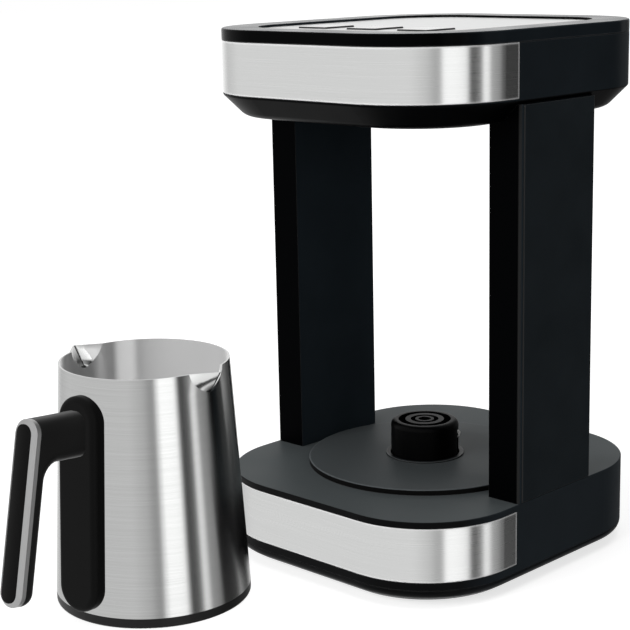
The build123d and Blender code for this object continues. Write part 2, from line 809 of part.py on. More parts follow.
with BuildPart() as control_plate:
    with BuildSketch(plan_plane(plate_under_z)):
        outline(plate_inset + seat_gap)
    extrude(amount=plate_thickness)
    with BuildSketch(Plane.XY.offset(plate_under_z)):
        with Locations(*button_points):
            RectangleRounded(opening_width, opening_depth, opening_corner)
    extrude(amount=plate_thickness, mode=Mode.SUBTRACT)
control_plate.part.label = "control_plate"
export_step(control_plate.part, "parts/control_plate.step")

with BuildPart() as head_cover_screws:
    for x, y in head_posts:
        screw(Plane((x, y, head_bottom_z + screw_head_height)), post_screw_length)
head_cover_screws.part.label = "head_cover_screws"
export_step(head_cover_screws.part, "parts/head_cover_screws.step")

# ---------------------------------------------------------------- push buttons
board_top_z = control_board_z + board_thickness
switch_top_z = board_top_z + switch_height
plunger_top_z = switch_top_z + switch_plunger_rise
button_flange_top_z = cover_floor_z - slip_gap
button_flange_z = button_flange_top_z - button_flange_thickness
flange_width = opening_width + 2 * button_flange_width
flange_depth = opening_depth + 2 * button_flange_width
plunger_low_z = switch_top_z - switch_well_depth + button_travel + slip_gap

button_top_z = plate_top_z + button_rise
cap_width = button_width - 2 * button_cap_inset
cap_depth = button_depth - 2 * button_cap_inset
cap_corner = button_corner - button_cap_inset
cap_seat_z = button_top_z + button_cap_rise - button_cap_thickness

for button_name, (button_x, button_y) in zip(("left", "middle", "right"), button_points):
    with BuildPart() as button_cap:
        with BuildSketch(Plane((button_x, button_y, cap_seat_z))):
            RectangleRounded(cap_width, cap_depth, cap_corner)
        extrude(amount=button_cap_thickness)
    button_cap.part.label = f"{button_name}_button"
    export_step(button_cap.part, f"parts/{button_name}_button.step")

    with BuildPart() as button_plunger:
        with BuildSketch(Plane((button_x, button_y, button_flange_top_z))):
            RectangleRounded(button_width, button_depth, button_corner)
        extrude(amount=button_top_z - button_flange_top_z)
        fillet(button_plunger.faces().sort_by(Axis.Z)[-1].edges(), button_edge_radius)
        # pocket that the metal cap is set in
        with BuildSketch(Plane((button_x, button_y, cap_seat_z))):
            RectangleRounded(cap_width, cap_depth, cap_corner)
        extrude(amount=button_cap_thickness, mode=Mode.SUBTRACT)
        with BuildSketch(Plane((button_x, button_y, button_flange_z))):
            RectangleRounded(flange_width, flange_depth, opening_corner)
        extrude(amount=button_flange_thickness)
        with BuildSketch(Plane((button_x, button_y, plunger_top_z))):
            Circle(button_stem_radius)
        extrude(amount=button_flange_z - plunger_top_z)
        with BuildSketch(Plane((button_x, button_y, plunger_low_z))):
            Circle(switch_plunger_radius)
        extrude(amount=plunger_top_z - plunger_low_z)
    button_plunger.part.label = f"{button_name}_button_plunger"
    export_step(button_plunger.part, f"parts/{button_name}_button_plunger.step")

with BuildPart() as button_switches:
    with BuildSketch(Plane.XY.offset(board_top_z)):
        with Locations(*button_points):
            Rectangle(switch_size, switch_size)
    extrude(amount=switch_height)
    with BuildSketch(Plane.XY.offset(switch_top_z)):
        with Locations(*button_points):
            Circle(switch_plunger_radius + slip_gap)
    extrude(amount=-switch_well_depth, mode=Mode.SUBTRACT)
button_switches.part.label = "button_switches"
export_step(button_switches.part, "parts/button_switches.step")

# ---------------------------------------------------------------- boards and electrical pieces
with BuildPart() as control_board:
    with BuildSketch(Plane((0, control_board_y, control_board_z))):
        Rectangle(control_board_width, control_board_depth)
    extrude(amount=board_thickness)
    with BuildSketch(Plane.XY.offset(control_board_z)):
        with Locations(*control_posts):
            Circle(screw_hole)
    extrude(amount=board_thickness, mode=Mode.SUBTRACT)
control_board.part.label = "control_board"
export_step(control_board.part, "parts/control_board.step")

with BuildPart() as control_board_screws:
    for x, y in control_posts:
        screw(Plane((x, y, control_board_z)), board_thickness + control_board_drop - slip_gap)
control_board_screws.part.label = "control_board_screws"
export_step(control_board_screws.part, "parts/control_board_screws.step")

with BuildPart() as power_board:
    with BuildSketch(Plane((0, power_board_y, power_board_z))):
        Rectangle(power_board_width, power_board_depth)
    extrude(amount=board_thickness)
power_board.part.label = "power_board"
export_step(power_board.part, "parts/power_board.step")

power_top_z = power_board_z + board_thickness
relay_y = power_board_y + relay_offset_y
terminal_y = power_board_y + power_board_depth / 2 - power_post_inset - terminal_depth

with BuildPart() as transformer:
    with BuildSketch(Plane((transformer_offset, power_board_y, power_top_z))):
        Rectangle(transformer_width, transformer_depth)
    extrude(amount=transformer_height)
    with BuildSketch(Plane((transformer_offset, power_board_y, power_top_z))):
        RectangleRounded(winding_width, winding_depth, winding_corner)
    extrude(amount=winding_height)
transformer.part.label = "transformer"
export_step(transformer.part, "parts/transformer.step")

with BuildPart() as heater_relay:
    with BuildSketch(Plane((relay_offset_x, relay_y, power_top_z))):
        RectangleRounded(relay_width, relay_depth, relay_corner)
    extrude(amount=relay_height)
heater_relay.part.label = "heater_relay"
export_step(heater_relay.part, "parts/heater_relay.step")

with BuildPart() as mains_terminal_block:
    with BuildSketch(Plane((gland_x, terminal_y, power_top_z))):
        Rectangle(terminal_width, terminal_depth)
    extrude(amount=terminal_height)
    with BuildSketch(Plane((gland_x, terminal_y, power_top_z + terminal_height))):
        with GridLocations(terminal_pitch, terminal_depth, 3, 1):
            Circle(terminal_hole_radius)
    extrude(amount=-terminal_hole_depth, mode=Mode.SUBTRACT)
mains_terminal_block.part.label = "mains_terminal_block"
export_step(mains_terminal_block.part, "parts/mains_terminal_block.step")

gland_plane = Plane((gland_x, rear_reach, gland_z), x_dir=(-1, 0, 0), z_dir=(0, 1, 0))
with BuildPart() as cord_gland:
    with BuildSketch(gland_plane):
        Circle(gland_flange_radius)
    extrude(amount=gland_flange)
    fillet(cord_gland.faces().sort_by(Axis.Y)[-1].edges(), gland_edge_radius)
    with BuildSketch(gland_plane):
        Circle(gland_radius)
    extrude(amount=-shell_wall)
    with BuildSketch(gland_plane.offset(-shell_wall)):
        Circle(gland_flange_radius)
    extrude(amount=-gland_flange)
    with BuildSketch(gland_plane.offset(gland_flange)):
        Circle(gland_bore)
    extrude(amount=-(shell_wall + 2 * gland_flange), mode=Mode.SUBTRACT)
cord_gland.part.label = "cord_gland"
export_step(cord_gland.part, "parts/cord_gland.step")

# ribbon harness from the power board, up the right pillar, to the control board
harness_low_z = power_top_z + connector_height / 2
harness_high_z = control_board_z - connector_height / 2
low_connector_x = power_board_width / 2 - connector_length / 2
high_connector_x = control_board_width / 2 - connector_length / 2

with BuildPart() as wiring_harness:
    with BuildLine() as harness_route:
        FilletPolyline(
            (low_connector_x + connector_length / 2, harness_y, harness_low_z),
            (cable_hole_x, harness_y, harness_low_z),
            (cable_hole_x, harness_y, harness_high_z),
            (high_connector_x + connector_length / 2, harness_y, harness_high_z),
            radius=harness_bend,
        )
    with BuildSketch(Plane(harness_route.line @ 0, x_dir=(0, 1, 0), z_dir=harness_route.line % 0)):
        Rectangle(harness_width, harness_thickness)
    sweep()
wiring_harness.part.label = "wiring_harness"
export_step(wiring_harness.part, "parts/wiring_harness.step")

with BuildPart() as harness_connectors:
    with BuildSketch(Plane((low_connector_x, harness_y, power_top_z))):
        Rectangle(connector_length, harness_width + 2 * board_thickness)
    extrude(amount=connector_height)
    with BuildSketch(Plane((high_connector_x, harness_y, control_board_z))):
        Rectangle(connector_length, harness_width + 2 * board_thickness)
    extrude(amount=-connector_height)
harness_connectors.part.label = "harness_connectors"
export_step(harness_connectors.part, "parts/harness_connectors.step")

buzzer_y = control_board_y + buzzer_offset_y
with BuildPart() as buzzer:
    with BuildSketch(Plane((buzzer_offset_x, buzzer_y, board_top_z))):
        Circle(buzzer_radius)
    extrude(amount=buzzer_height)
    with BuildSketch(Plane((buzzer_offset_x, buzzer_y, board_top_z + buzzer_height))):
        Circle(buzzer_hole_radius)
    extrude(amount=-buzzer_hole_depth, mode=Mode.SUBTRACT)
buzzer.part.label = "buzzer"
export_step(buzzer.part, "parts/buzzer.step")

with BuildPart() as sensor_window:
    with BuildSketch(Plane.XY.offset(head_bottom_z)):
        Circle(window_radius)
    extrude(amount=shell_wall)
    with BuildSketch(Plane.XY.offset(head_floor_z)):
        Circle(window_flange_radius)
    extrude(amount=window_flange)
sensor_window.part.label = "sensor_window"
export_step(sensor_window.part, "parts/sensor_window.step")

with BuildPart() as foam_sensor:
    with BuildSketch(Plane.XY.offset(head_floor_z + window_flange)):
        RectangleRounded(sensor_width, sensor_depth, sensor_corner)
    extrude(amount=sensor_height)
foam_sensor.part.label = "foam_sensor"
export_step(foam_sensor.part, "parts/foam_sensor.step")

# ---------------------------------------------------------------- jug
jug_angle = math.radians(handle_turn)
handle_dir = Vector(math.cos(jug_angle), math.sin(jug_angle), 0)
side_dir = Vector(-math.sin(jug_angle), math.cos(jug_angle), 0)
jug_axis = Axis((jug_x, jug_y, 0), (0, 0, 1))
# profile plane: local x is the distance from the jug's axis towards the handle, local y is height
profile_plane = Plane((jug_x, jug_y, 0), x_dir=handle_dir, z_dir=-side_dir)


def jug_level(z):
    """Horizontal plane at height z, centred on the jug, with its x axis towards the handle."""
    return Plane((jug_x, jug_y, z), x_dir=handle_dir, z_dir=(0, 0, 1))


jug_taper = (jug_foot_radius - jug_rim_radius) / (jug_height - jug_skirt_z)


def jug_radius(z):
    """Outer radius of the steel body at height z."""
    return jug_foot_radius - jug_taper * (z - jug_skirt_z)


def pouring_lips(draw_in):
    """The two pouring lips, each a loft that widens from its root to the rim, drawn in by a wall."""
    stations = (
        (jug_height - lip_depth, lip_root_width, -lip_sink),
        (jug_height - lip_middle_drop, lip_middle_width, lip_middle_reach),
        (jug_height, lip_width, lip_reach),
    )
    for turn in (90, -90):
        sections = []
        for z, width, reach in stations:
            half = width / 2 - draw_in
            flank = math.sqrt(jug_radius(z) ** 2 - (width / 2) ** 2) - lip_sink - draw_in
            tip = jug_radius(z) + reach - draw_in
            inner = jug_rim_radius / 2
            with BuildSketch(jug_level(z).rotated((0, 0, turn))) as section:
                Polygon((inner, -half), (flank, -half), (tip, 0), (flank, half), (inner, half), align=None)
                fillet(section.vertices().sort_by_distance((tip, 0, 0))[0], lip_tip_radius)
            sections.append(section.sketch)
        loft(sections)


with BuildPart() as jug_form:
    with BuildSketch(profile_plane):
        Polygon(
            (0, jug_skirt_z),
            (jug_foot_radius, jug_skirt_z),
            (jug_rim_radius, jug_height),
            (0, jug_height),
            align=None,
        )
    revolve(axis=jug_axis)

with BuildPart() as jug_hollow:
    with BuildSketch(profile_plane):
        Polygon(
            (0, jug_skirt_z),
            (jug_foot_radius - jug_wall, jug_skirt_z),
            (jug_rim_radius - jug_wall, jug_height),
            (0, jug_height),
            align=None,
        )
    revolve(axis=jug_axis)
    pouring_lips(jug_wall)

wall_tilt = math.atan(jug_taper)
wall_normal = handle_dir * math.cos(wall_tilt) + Vector(0, 0, math.sin(wall_tilt))
jug_origin = Vector(jug_x, jug_y, 0)


def wall_plane(z, depth):
    """Plane square to the jug's wall on the handle side, at a depth inside the outer surface."""
    surface = jug_origin + handle_dir * jug_radius(z) + Vector(0, 0, z)
    return Plane(surface - wall_normal * depth, x_dir=side_dir, z_dir=wall_normal)


arm_screw_heights = (arm_top_z - handle_screw_inset, arm_low_z + handle_screw_inset)
screw_seat_radius = jug_rim_radius - jug_wall
screw_seat_depth = jug_wall + screw_seat_radius - math.sqrt(screw_seat_radius**2 - screw_head_radius**2)

with BuildPart() as jug_body:
    add(jug_form.part)
    pouring_lips(0)
    add(jug_hollow.part, mode=Mode.SUBTRACT)
    for z in (*arm_screw_heights, handle_screw_lower_z):
        with Locations(wall_plane(z, 3 * jug_wall)):
            Cylinder(screw_hole, 4 * jug_wall, align=upright, mode=Mode.SUBTRACT)
jug_body.part.label = "jug_body"
export_step(jug_body.part, "parts/jug_body.step")

# ---------------------------------------------------------------- underside of the jug
ring_inner_radius = jug_foot_radius - ring_seat_width
spigot_top_z = jug_skirt_z + ring_spigot_height
bottom_cover_top_z = bottom_cover_rise + bottom_cover_thickness
boss_web_length = ring_inner_radius - cover_boss_circle + seat_gap
with BuildPart() as jug_base_ring:
    with BuildSketch(profile_plane) as ring_section:
        Polygon(
            (ring_inner_radius, 0),
            (jug_foot_radius, 0),
            (jug_foot_radius, jug_skirt_z),
            (jug_foot_radius - jug_wall - seat_gap, jug_skirt_z),
            (jug_radius(spigot_top_z) - jug_wall - seat_gap, spigot_top_z),
            (ring_inner_radius, spigot_top_z),
            align=None,
        )
        fillet(ring_section.vertices().sort_by_distance((jug_foot_radius, 0, 0))[0], ring_edge)
    revolve(axis=jug_axis)
    # bosses for the bottom cover's screws
    with BuildSketch(jug_level(bottom_cover_top_z)):
        with PolarLocations(cover_boss_circle, cover_boss_count):
            Circle(cover_boss_radius)
            Rectangle(boss_web_length, cover_boss_radius, align=(Align.MIN, Align.CENTER))
        with PolarLocations(cover_boss_circle, cover_boss_count):
            Circle(screw_hole, mode=Mode.SUBTRACT)
    extrude(amount=spigot_top_z - bottom_cover_top_z)
jug_base_ring.part.label = "jug_base_ring"
export_step(jug_base_ring.part, "parts/jug_base_ring.step")

socket_radius = hub_radius + dock_gap
socket_outer_radius = socket_radius + socket_wall
socket_roof_z = socket_mouth_z + socket_bore_depth
spreader_z = socket_roof_z + socket_roof
floor_z = spreader_z + spreader_thickness

with BuildPart() as jug_bottom_cover:
    with BuildSketch(jug_level(bottom_cover_rise)):
        Circle(ring_inner_radius - seat_gap)
        Circle(socket_outer_radius + seat_gap, mode=Mode.SUBTRACT)
        with PolarLocations(cover_boss_circle, cover_boss_count):
            Circle(screw_hole, mode=Mode.SUBTRACT)
    extrude(amount=bottom_cover_thickness)
    with BuildSketch(jug_level(bottom_cover_rise)):
        with PolarLocations(cover_boss_circle, cover_boss_count):
            Circle(screw_head_radius + seat_gap)
    extrude(amount=screw_head_height, mode=Mode.SUBTRACT)
jug_bottom_cover.part.label = "jug_bottom_cover"
export_step(jug_bottom_cover.part, "parts/jug_bottom_cover.step")

with BuildPart() as jug_cover_screws:
    cover_screw_level = jug_level(bottom_cover_rise + screw_head_height)
    for spot in PolarLocations(cover_boss_circle, cover_boss_count):
        screw(Plane(cover_screw_level.location * spot), cover_screw_length)
jug_cover_screws.part.label = "jug_cover_screws"
export_step(jug_cover_screws.part, "parts/jug_cover_screws.step")

with BuildPart() as jug_socket:
    with BuildSketch(jug_level(socket_mouth_z)):
        Circle(socket_outer_radius)
    extrude(amount=spreader_z - socket_mouth_z)
    with BuildSketch(jug_level(bottom_cover_top_z)):
        Circle(socket_flange_radius)
    extrude(amount=socket_flange)
    with BuildSketch(jug_level(socket_mouth_z)):
        Circle(socket_radius)
    extrude(amount=socket_bore_depth, mode=Mode.SUBTRACT)
jug_socket.part.label = "jug_socket"
export_step(jug_socket.part, "parts/jug_socket.step")

outer_blade_radius = hub_wall_bore - contact_wall - blade_clearance
inner_blade_radius = hub_ring_bore - contact_wall - blade_clearance
with BuildPart() as jug_socket_contacts:
    with BuildSketch(jug_level(blade_z)):
        Circle(outer_blade_radius)
        Circle(outer_blade_radius - blade_thickness, mode=Mode.SUBTRACT)
        Circle(inner_blade_radius)
        Circle(inner_blade_radius - blade_thickness, mode=Mode.SUBTRACT)
    extrude(amount=socket_roof_z - blade_z)
    with BuildSketch(jug_level(pin_z)):
        Circle(pin_radius)
    extrude(amount=socket_roof_z - pin_z)
jug_socket_contacts.part.label = "jug_socket_contacts"
export_step(jug_socket_contacts.part, "parts/jug_socket_contacts.step")

element_z = spreader_z + element_sink - element_radius
with BuildPart() as heating_element:
    with BuildSketch(profile_plane):
        with Locations((element_circle, element_z)):
            Circle(element_radius)
    revolve(axis=jug_axis, revolution_arc=element_sweep)
    for turn in (0, element_sweep):
        end_level = jug_level(element_z).rotated((0, 0, turn))
        with Locations(Plane(end_level.from_local_coords((element_circle, 0, 0)))):
            Sphere(element_radius)
            Cylinder(terminal_radius, terminal_length, align=hanging)
heating_element.part.label = "heating_element"
export_step(heating_element.part, "parts/heating_element.step")

with BuildPart() as heat_spreader:
    with BuildSketch(jug_level(spreader_z)):
        Circle(spreader_radius)
    extrude(amount=spreader_thickness)
    add(heating_element.part, mode=Mode.SUBTRACT)
heat_spreader.part.label = "heat_spreader"
export_step(heat_spreader.part, "parts/heat_spreader.step")

with BuildPart() as heater_plate:
    with BuildSketch(profile_plane):
        Polygon(
            (0, floor_z),
            (jug_radius(floor_z) - jug_wall, floor_z),
            (jug_radius(floor_z + floor_thickness) - jug_wall, floor_z + floor_thickness),
            (0, floor_z + floor_thickness),
            align=None,
        )
    revolve(axis=jug_axis)
heater_plate.part.label = "heater_plate"
export_step(heater_plate.part, "parts/heater_plate.step")

thermostat_level = jug_level(spreader_z).rotated((0, 0, 180))
with BuildPart() as thermostat:
    with BuildSketch(Plane(thermostat_level.from_local_coords((thermostat_circle, 0, 0)))):
        Circle(thermostat_radius)
    extrude(amount=-thermostat_height)
thermostat.part.label = "thermostat"
export_step(thermostat.part, "parts/thermostat.step")

# ---------------------------------------------------------------- handle
backplate_face = wall_plane((backplate_low_z + backplate_top_z) / 2, -backplate_proud * math.cos(wall_tilt))
backplate_length = (backplate_top_z - backplate_low_z) / math.cos(wall_tilt)
with BuildPart() as handle_backplate:
    with BuildSketch(backplate_face):
        SlotOverall(backplate_length, backplate_width, rotation=90)
    extrude(amount=-2 * backplate_proud)
    fillet(handle_backplate.faces().sort_by_distance(backplate_face.origin)[0].edges(), backplate_edge)
    add(jug_form.part, mode=Mode.SUBTRACT)
    for z in arm_screw_heights:
        with Locations(wall_plane(z, jug_wall)):
            Cylinder(screw_hole, 3 * backplate_proud, align=upright, mode=Mode.SUBTRACT)
    with Locations(wall_plane(handle_screw_lower_z, jug_wall)):
        Cylinder(screw_hole, handle_lower_screw_length, align=upright, mode=Mode.SUBTRACT)
handle_backplate.part.label = "handle_backplate"
export_step(handle_backplate.part, "parts/handle_backplate.step")

# the grip's outer face runs between these two points of the profile plane
grip_top = Vector(grip_top_reach, grip_top_z)
grip_low = Vector(grip_low_reach, grip_low_z)
grip_run = (grip_low - grip_top).normalized()
grip_out = Vector(-grip_run.Y, grip_run.X)
grip_length = (grip_low - grip_top).length


def grip_point(end, depth):
    """Point of the profile plane at a depth inside the grip's outer face."""
    point = end - grip_out * depth
    return point.X, point.Y


grip_outward = profile_plane.from_local_coords(grip_out) - profile_plane.origin
grip_middle = profile_plane.from_local_coords((grip_top + grip_low) * 0.5)
grip_face = Plane(grip_middle, x_dir=side_dir, z_dir=grip_outward)
grip_inner_depth = trim_depth + grip_depth
inner_top = grip_top - grip_out * grip_inner_depth
arm_bend_point = inner_top + grip_run * ((arm_grip_z - inner_top.Y) / grip_run.Y)


with BuildPart() as handle_grip:
    with BuildSketch(profile_plane) as grip_profile:
        Polygon(
            (jug_radius(arm_top_z) + backplate_proud, arm_top_z),
            grip_point(grip_top, trim_depth),
            grip_point(grip_low, trim_depth),
            grip_point(grip_low, grip_inner_depth),
            (arm_bend_point.X, arm_bend_point.Y),
            (jug_radius(arm_low_z) + backplate_proud, arm_low_z),
            align=None,
        )
        fillet(grip_profile.vertices().sort_by_distance(arm_bend_point)[0], arm_bend)
    extrude(amount=grip_width / 2, both=True)
    # round the lower end's corners like the trim ring's
    low_corners = handle_grip.edges().filter_by(lambda e: abs(e.tangent_at(0.5).dot(grip_outward)) > 0.999)
    fillet(low_corners.group_by(Axis.Z)[0], grip_corner)
    # round the edges that the hand meets, on both sides
    for side in (-1, 1):
        side_face = handle_grip.faces().sort_by(Axis(grip_face.origin, side_dir * side))[-1]
        trim_side = grip_face.offset(-trim_depth)
        soft = [
            e
            for e in side_face.edges()
            if abs(trim_side.to_local_coords(e @ 0.5).Z) > 0.1
            and backplate_face.to_local_coords(e @ 0.5).Z > 0.1
        ]
        fillet(soft, grip_edge)
    for z in arm_screw_heights:
        with Locations(wall_plane(z, 0)):
            Cylinder(screw_hole, handle_screw_length, align=upright, mode=Mode.SUBTRACT)
handle_grip.part.label = "handle_grip"
export_step(handle_grip.part, "parts/handle_grip.step")

with BuildPart() as handle_trim_ring:
    with BuildSketch(grip_face):
        RectangleRounded(grip_width, grip_length, grip_corner)
    extrude(amount=-trim_depth)
    chamfer(handle_trim_ring.faces().sort_by_distance(grip_face.origin)[0].edges(), trim_bevel)
    with BuildSketch(grip_face):
        RectangleRounded(grip_width - 2 * trim_width, grip_length - 2 * trim_width, grip_corner - trim_width)
    extrude(amount=-trim_depth, mode=Mode.SUBTRACT)
handle_trim_ring.part.label = "handle_trim_ring"
export_step(handle_trim_ring.part, "parts/handle_trim_ring.step")

# slightly crowned insert inside the trim ring
insert_half = grip_width / 2 - trim_width - seat_gap
insert_length = grip_length - 2 * trim_width - 2 * seat_gap
insert_end = grip_face.from_local_coords((0, -insert_length / 2, 0))
insert_along = grip_face.from_local_coords((0, 1, 0)) - grip_face.origin
with BuildPart() as handle_insert:
    with BuildSketch(Plane(insert_end, x_dir=side_dir, z_dir=insert_along)):
        with BuildLine():
            Polyline(
                (-insert_half, insert_side_drop),
                (-insert_half, trim_depth),
                (insert_half, trim_depth),
                (insert_half, insert_side_drop),
            )
            ThreePointArc(
                (insert_half, insert_side_drop),
                (0, insert_side_drop - insert_crown),
                (-insert_half, insert_side_drop),
            )
        make_face()
    extrude(amount=insert_length)
    with BuildSketch(grip_face):
        RectangleRounded(2 * insert_half, insert_length, grip_corner - trim_width - seat_gap)
    extrude(amount=trim_depth, both=True, mode=Mode.INTERSECT)
handle_insert.part.label = "handle_insert"
export_step(handle_insert.part, "parts/handle_insert.step")

with BuildPart() as handle_screws:
    for z in arm_screw_heights:
        screw(wall_plane(z, screw_seat_depth), handle_screw_length)
handle_screws.part.label = "handle_screws"
export_step(handle_screws.part, "parts/handle_screws.step")

with BuildPart() as handle_lower_screw:
    screw(wall_plane(handle_screw_lower_z, screw_seat_depth), handle_lower_screw_length)
handle_lower_screw.part.label = "handle_lower_screw"
export_step(handle_lower_screw.part, "parts/handle_lower_screw.step")
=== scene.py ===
"""Finishes an electric turkish coffee maker and its jug on their fixed CAD frame, and sets their stage.

Every size is in metres, in the frame's axes: +X to the right of a person facing the machine, +Y to its back
and +Z up, from the point below the power hub's axis on the surface that the machine stands on.
"""

import math

import bmesh
import bpy
from mathutils import Matrix, Vector


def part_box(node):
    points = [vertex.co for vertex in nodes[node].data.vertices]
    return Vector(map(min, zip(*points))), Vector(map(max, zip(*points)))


bl_info = {
    "name": "Electric turkish coffee maker",
    "version": (1, 0, 0),
    "blender": (4, 5, 0),
    "location": "3D View > Sidebar > Coffee maker",
    "description": "Finishes a coffee maker's CAD frame with materials, lights and a camera",
    "category": "Object",
}

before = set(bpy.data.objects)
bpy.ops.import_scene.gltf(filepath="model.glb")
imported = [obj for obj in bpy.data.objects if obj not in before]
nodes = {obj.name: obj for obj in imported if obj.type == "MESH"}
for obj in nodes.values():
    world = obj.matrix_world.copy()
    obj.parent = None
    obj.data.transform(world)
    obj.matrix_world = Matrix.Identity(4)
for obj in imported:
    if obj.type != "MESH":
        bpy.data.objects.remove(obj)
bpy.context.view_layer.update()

# How much a brushed pattern keeps of its fineness along X, Y and Z, which sets the way its lines run
ROUND = (0.004, 0.004, 1.0)  # level lines round the bands and the jug
ACROSS = (0.004, 1.0, 0.004)  # lines from side to side
UPRIGHT = (1.0, 1.0, 0.05)  # upright lines
EVEN = (1.0, 1.0, 1.0)  # specks without a direction

# Sizes of the finishes
BRUSH_DEPTH = 0.0000004  # depth of a brushed line
CONTACT_LINE = 0.0003  # line width on contacts and springs
PLAIN_LINE = 0.0004  # line width on small plain metal pieces
GRAIN_FLATNESS = 30  # a grain's width over its height
PATCH_SIZE = 0.03  # width of a soft patch in the plastic
BAND_HIGHLIGHT_WIDTH = 0.0012  # width of the painted highlight along a band's edges
RIM_HIGHLIGHT_INSET = (0.0011, 0.0006)  # how far inside a round piece's edge its painted rim highlight starts, and is full
LIP_FOOT = 0.114  # height at which the jug's lips begin
JUG_FLOOR = 0.06  # level faces less than this above the jug's cover are its inner bottom
EDGE_HIGHLIGHT_SHARE = 0.8  # how strongly the painted highlight shows on a sharp edge

# Colours that a user hardly changes
WHITE = (1.0, 1.0, 1.0)
# Painted highlight along the edges of the front bands
BAND_EDGE_HIGHLIGHT = (0.85, 0.85, 0.85)
DARK_STEEL = (0.42, 0.42, 0.42)
SCREW_STEEL = (0.45, 0.45, 0.46)
BLASTED_STEEL = (0.5, 0.5, 0.5)
SHEATH_STEEL = (0.25, 0.25, 0.25)
ALUMINIUM = (0.6, 0.6, 0.6)
BRASS = (0.72, 0.55, 0.28)
NICKEL = (0.9, 0.9, 0.88)
SOLDER = (0.62, 0.62, 0.6)
# Painted light: the base pan's downward faces are painted this lighter grey
PAN_UNDERSIDE_LIGHT = (0.09, 0.095, 0.1)
# Painted shade: the platform disc's sides and edges are painted near-black
DISC_SIDE_SHADE = (0.003, 0.003, 0.003)
# Painted highlight on the platform disc's rim
DISC_RIM_HIGHLIGHT = (0.095, 0.105, 0.11)
HUB_BLACK = (0.0006, 0.0006, 0.0007)
COLLAR_BLACK = (0.006, 0.0065, 0.007)
# Painted highlight on the hub collar's rim
COLLAR_RIM_HIGHLIGHT = (0.055, 0.06, 0.063)
SOFT_BLACK = (0.02, 0.02, 0.02)
GLAND_BLACK = (0.012, 0.012, 0.012)
CORE_GREY = (0.08, 0.08, 0.085)
WIRE_GREY = (0.15, 0.15, 0.16)
TERMINAL_CREAM = (0.6, 0.6, 0.57)
LACQUER_GREEN = (0.01, 0.08, 0.03)
TRACK_GREEN = (0.03, 0.16, 0.05)

# The stage
SENSOR_WIDTH = 36.0
WORLD_LIGHT = 0.22
JUG_NAMES = ("jug_", "handle_", "heater_plate", "heat_spreader", "heating_element", "thermostat")
# Each lamp's name, place, target, width, height and power, but for the jug's own lamp
LAMPS = (
    ("top light", (0.0, 0.1, 1.5), (0.0, 0.0, 0.1), 1.4, 1.4, 10.0),
    ("side light", (1.5, -0.1, 0.6), (0.0, -0.05, 0.15), 0.8, 1.2, 2.0),
    ("front light", (-0.15, -1.7, 0.8), (0.0, 0.0, 0.05), 1.3, 0.9, 23.0),
)
JUG_LAMP_SIZE = (0.58, 1.6)
JUG_LAMP_POWER = 2.2
JUG_LAMP_REACH = 1.5
JUG_LAMP_RISE = 0.15  # how far it stands above the jug, as a share of its reach
JUG_LAMP_ANGLE = math.radians(77)  # from the front towards the right


# ---------------------------------------------------------------- settings
class CoffeeMakerFinish(bpy.types.PropertyGroup):
    """Colours and surface sizes that a user may change."""

    moulding_colour: bpy.props.FloatVectorProperty(
        name="Moulding", description="Black plastic of the housings", subtype="COLOR",
        default=(0.0050, 0.0065, 0.0080),
    )
    housing_colour: bpy.props.FloatVectorProperty(
        name="Housings", description="Smooth side walls of the base and the head", subtype="COLOR",
        default=(0.0155, 0.0205, 0.0250),
    )
    # Painted light: the deck's upward face is painted lighter than the housing's sides
    deck_light_colour: bpy.props.FloatVectorProperty(
        name="Deck", description="Grained upper face of the base's deck", subtype="COLOR",
        default=(0.072, 0.082, 0.085),
    )
    # Painted light: the disc's upward face is painted lighter than its near-black sides
    disc_light_colour: bpy.props.FloatVectorProperty(
        name="Platform disc", description="Grained upper face of the disc round the hub", subtype="COLOR",
        default=(0.066, 0.074, 0.077),
    )
    # Painted shade: the faces that look to the front or down are painted deep black
    front_shade_colour: bpy.props.FloatVectorProperty(
        name="Fronts", description="Deep black of the faces that look to the front or down", subtype="COLOR",
        default=(0.0006, 0.0007, 0.0009),
    )
    pillar_colour: bpy.props.FloatVectorProperty(
        name="Pillars", description="Black plastic of the pillars' channels", subtype="COLOR",
        default=(0.0220, 0.0300, 0.0370),
    )
    panel_colour: bpy.props.FloatVectorProperty(
        name="Side panels", description="Blue-black plastic of the pillars' outer panels", subtype="COLOR",
        default=(0.0125, 0.0170, 0.0205),
    )
    handle_colour: bpy.props.FloatVectorProperty(
        name="Handle", description="Matt black plastic of the jug's handle", subtype="COLOR",
        default=(0.0120, 0.0120, 0.0120),
    )
    steel_colour: bpy.props.FloatVectorProperty(
        name="Steel", description="Brushed stainless steel of the bands, plate and jug", subtype="COLOR",
        default=(0.66, 0.665, 0.66),
    )
    grain_size: bpy.props.FloatProperty(
        name="Grain size", description="Width of one grain of the moulded plastic", subtype="DISTANCE",
        default=0.0006, min=0.0001, max=0.005,
    )
    brush_size: bpy.props.FloatProperty(
        name="Brush line", description="Width of one line of the brushed steel", subtype="DISTANCE",
        default=0.00022, min=0.00005, max=0.002,
    )


class CoffeeMakerStage(bpy.types.PropertyGroup):
    """Camera and floor."""

    camera_place: bpy.props.FloatVectorProperty(
        name="Camera place", description="Where the camera stands", subtype="TRANSLATION", unit="LENGTH",
        default=(0.5955, -0.6929, 0.3379),
    )
    azimuth: bpy.props.FloatProperty(
        name="Azimuth", description="Camera's turn from the machine's front towards its right side",
        subtype="ANGLE", default=math.radians(44.54),
    )
    elevation: bpy.props.FloatProperty(
        name="Elevation", description="How far the camera looks down", subtype="ANGLE",
        default=math.radians(12.64),
    )
    roll: bpy.props.FloatProperty(
        name="Roll", description="Camera's turn about its own line of sight", subtype="ANGLE",
        default=math.radians(-1.24),
    )
    lens: bpy.props.FloatProperty(
        name="Lens", description="Focal length for a 36 mm sensor", unit="CAMERA", default=94.51,
    )
    floor_size: bpy.props.FloatProperty(
        name="Floor size", description="Side of the square floor", subtype="DISTANCE", default=14.0,
    )


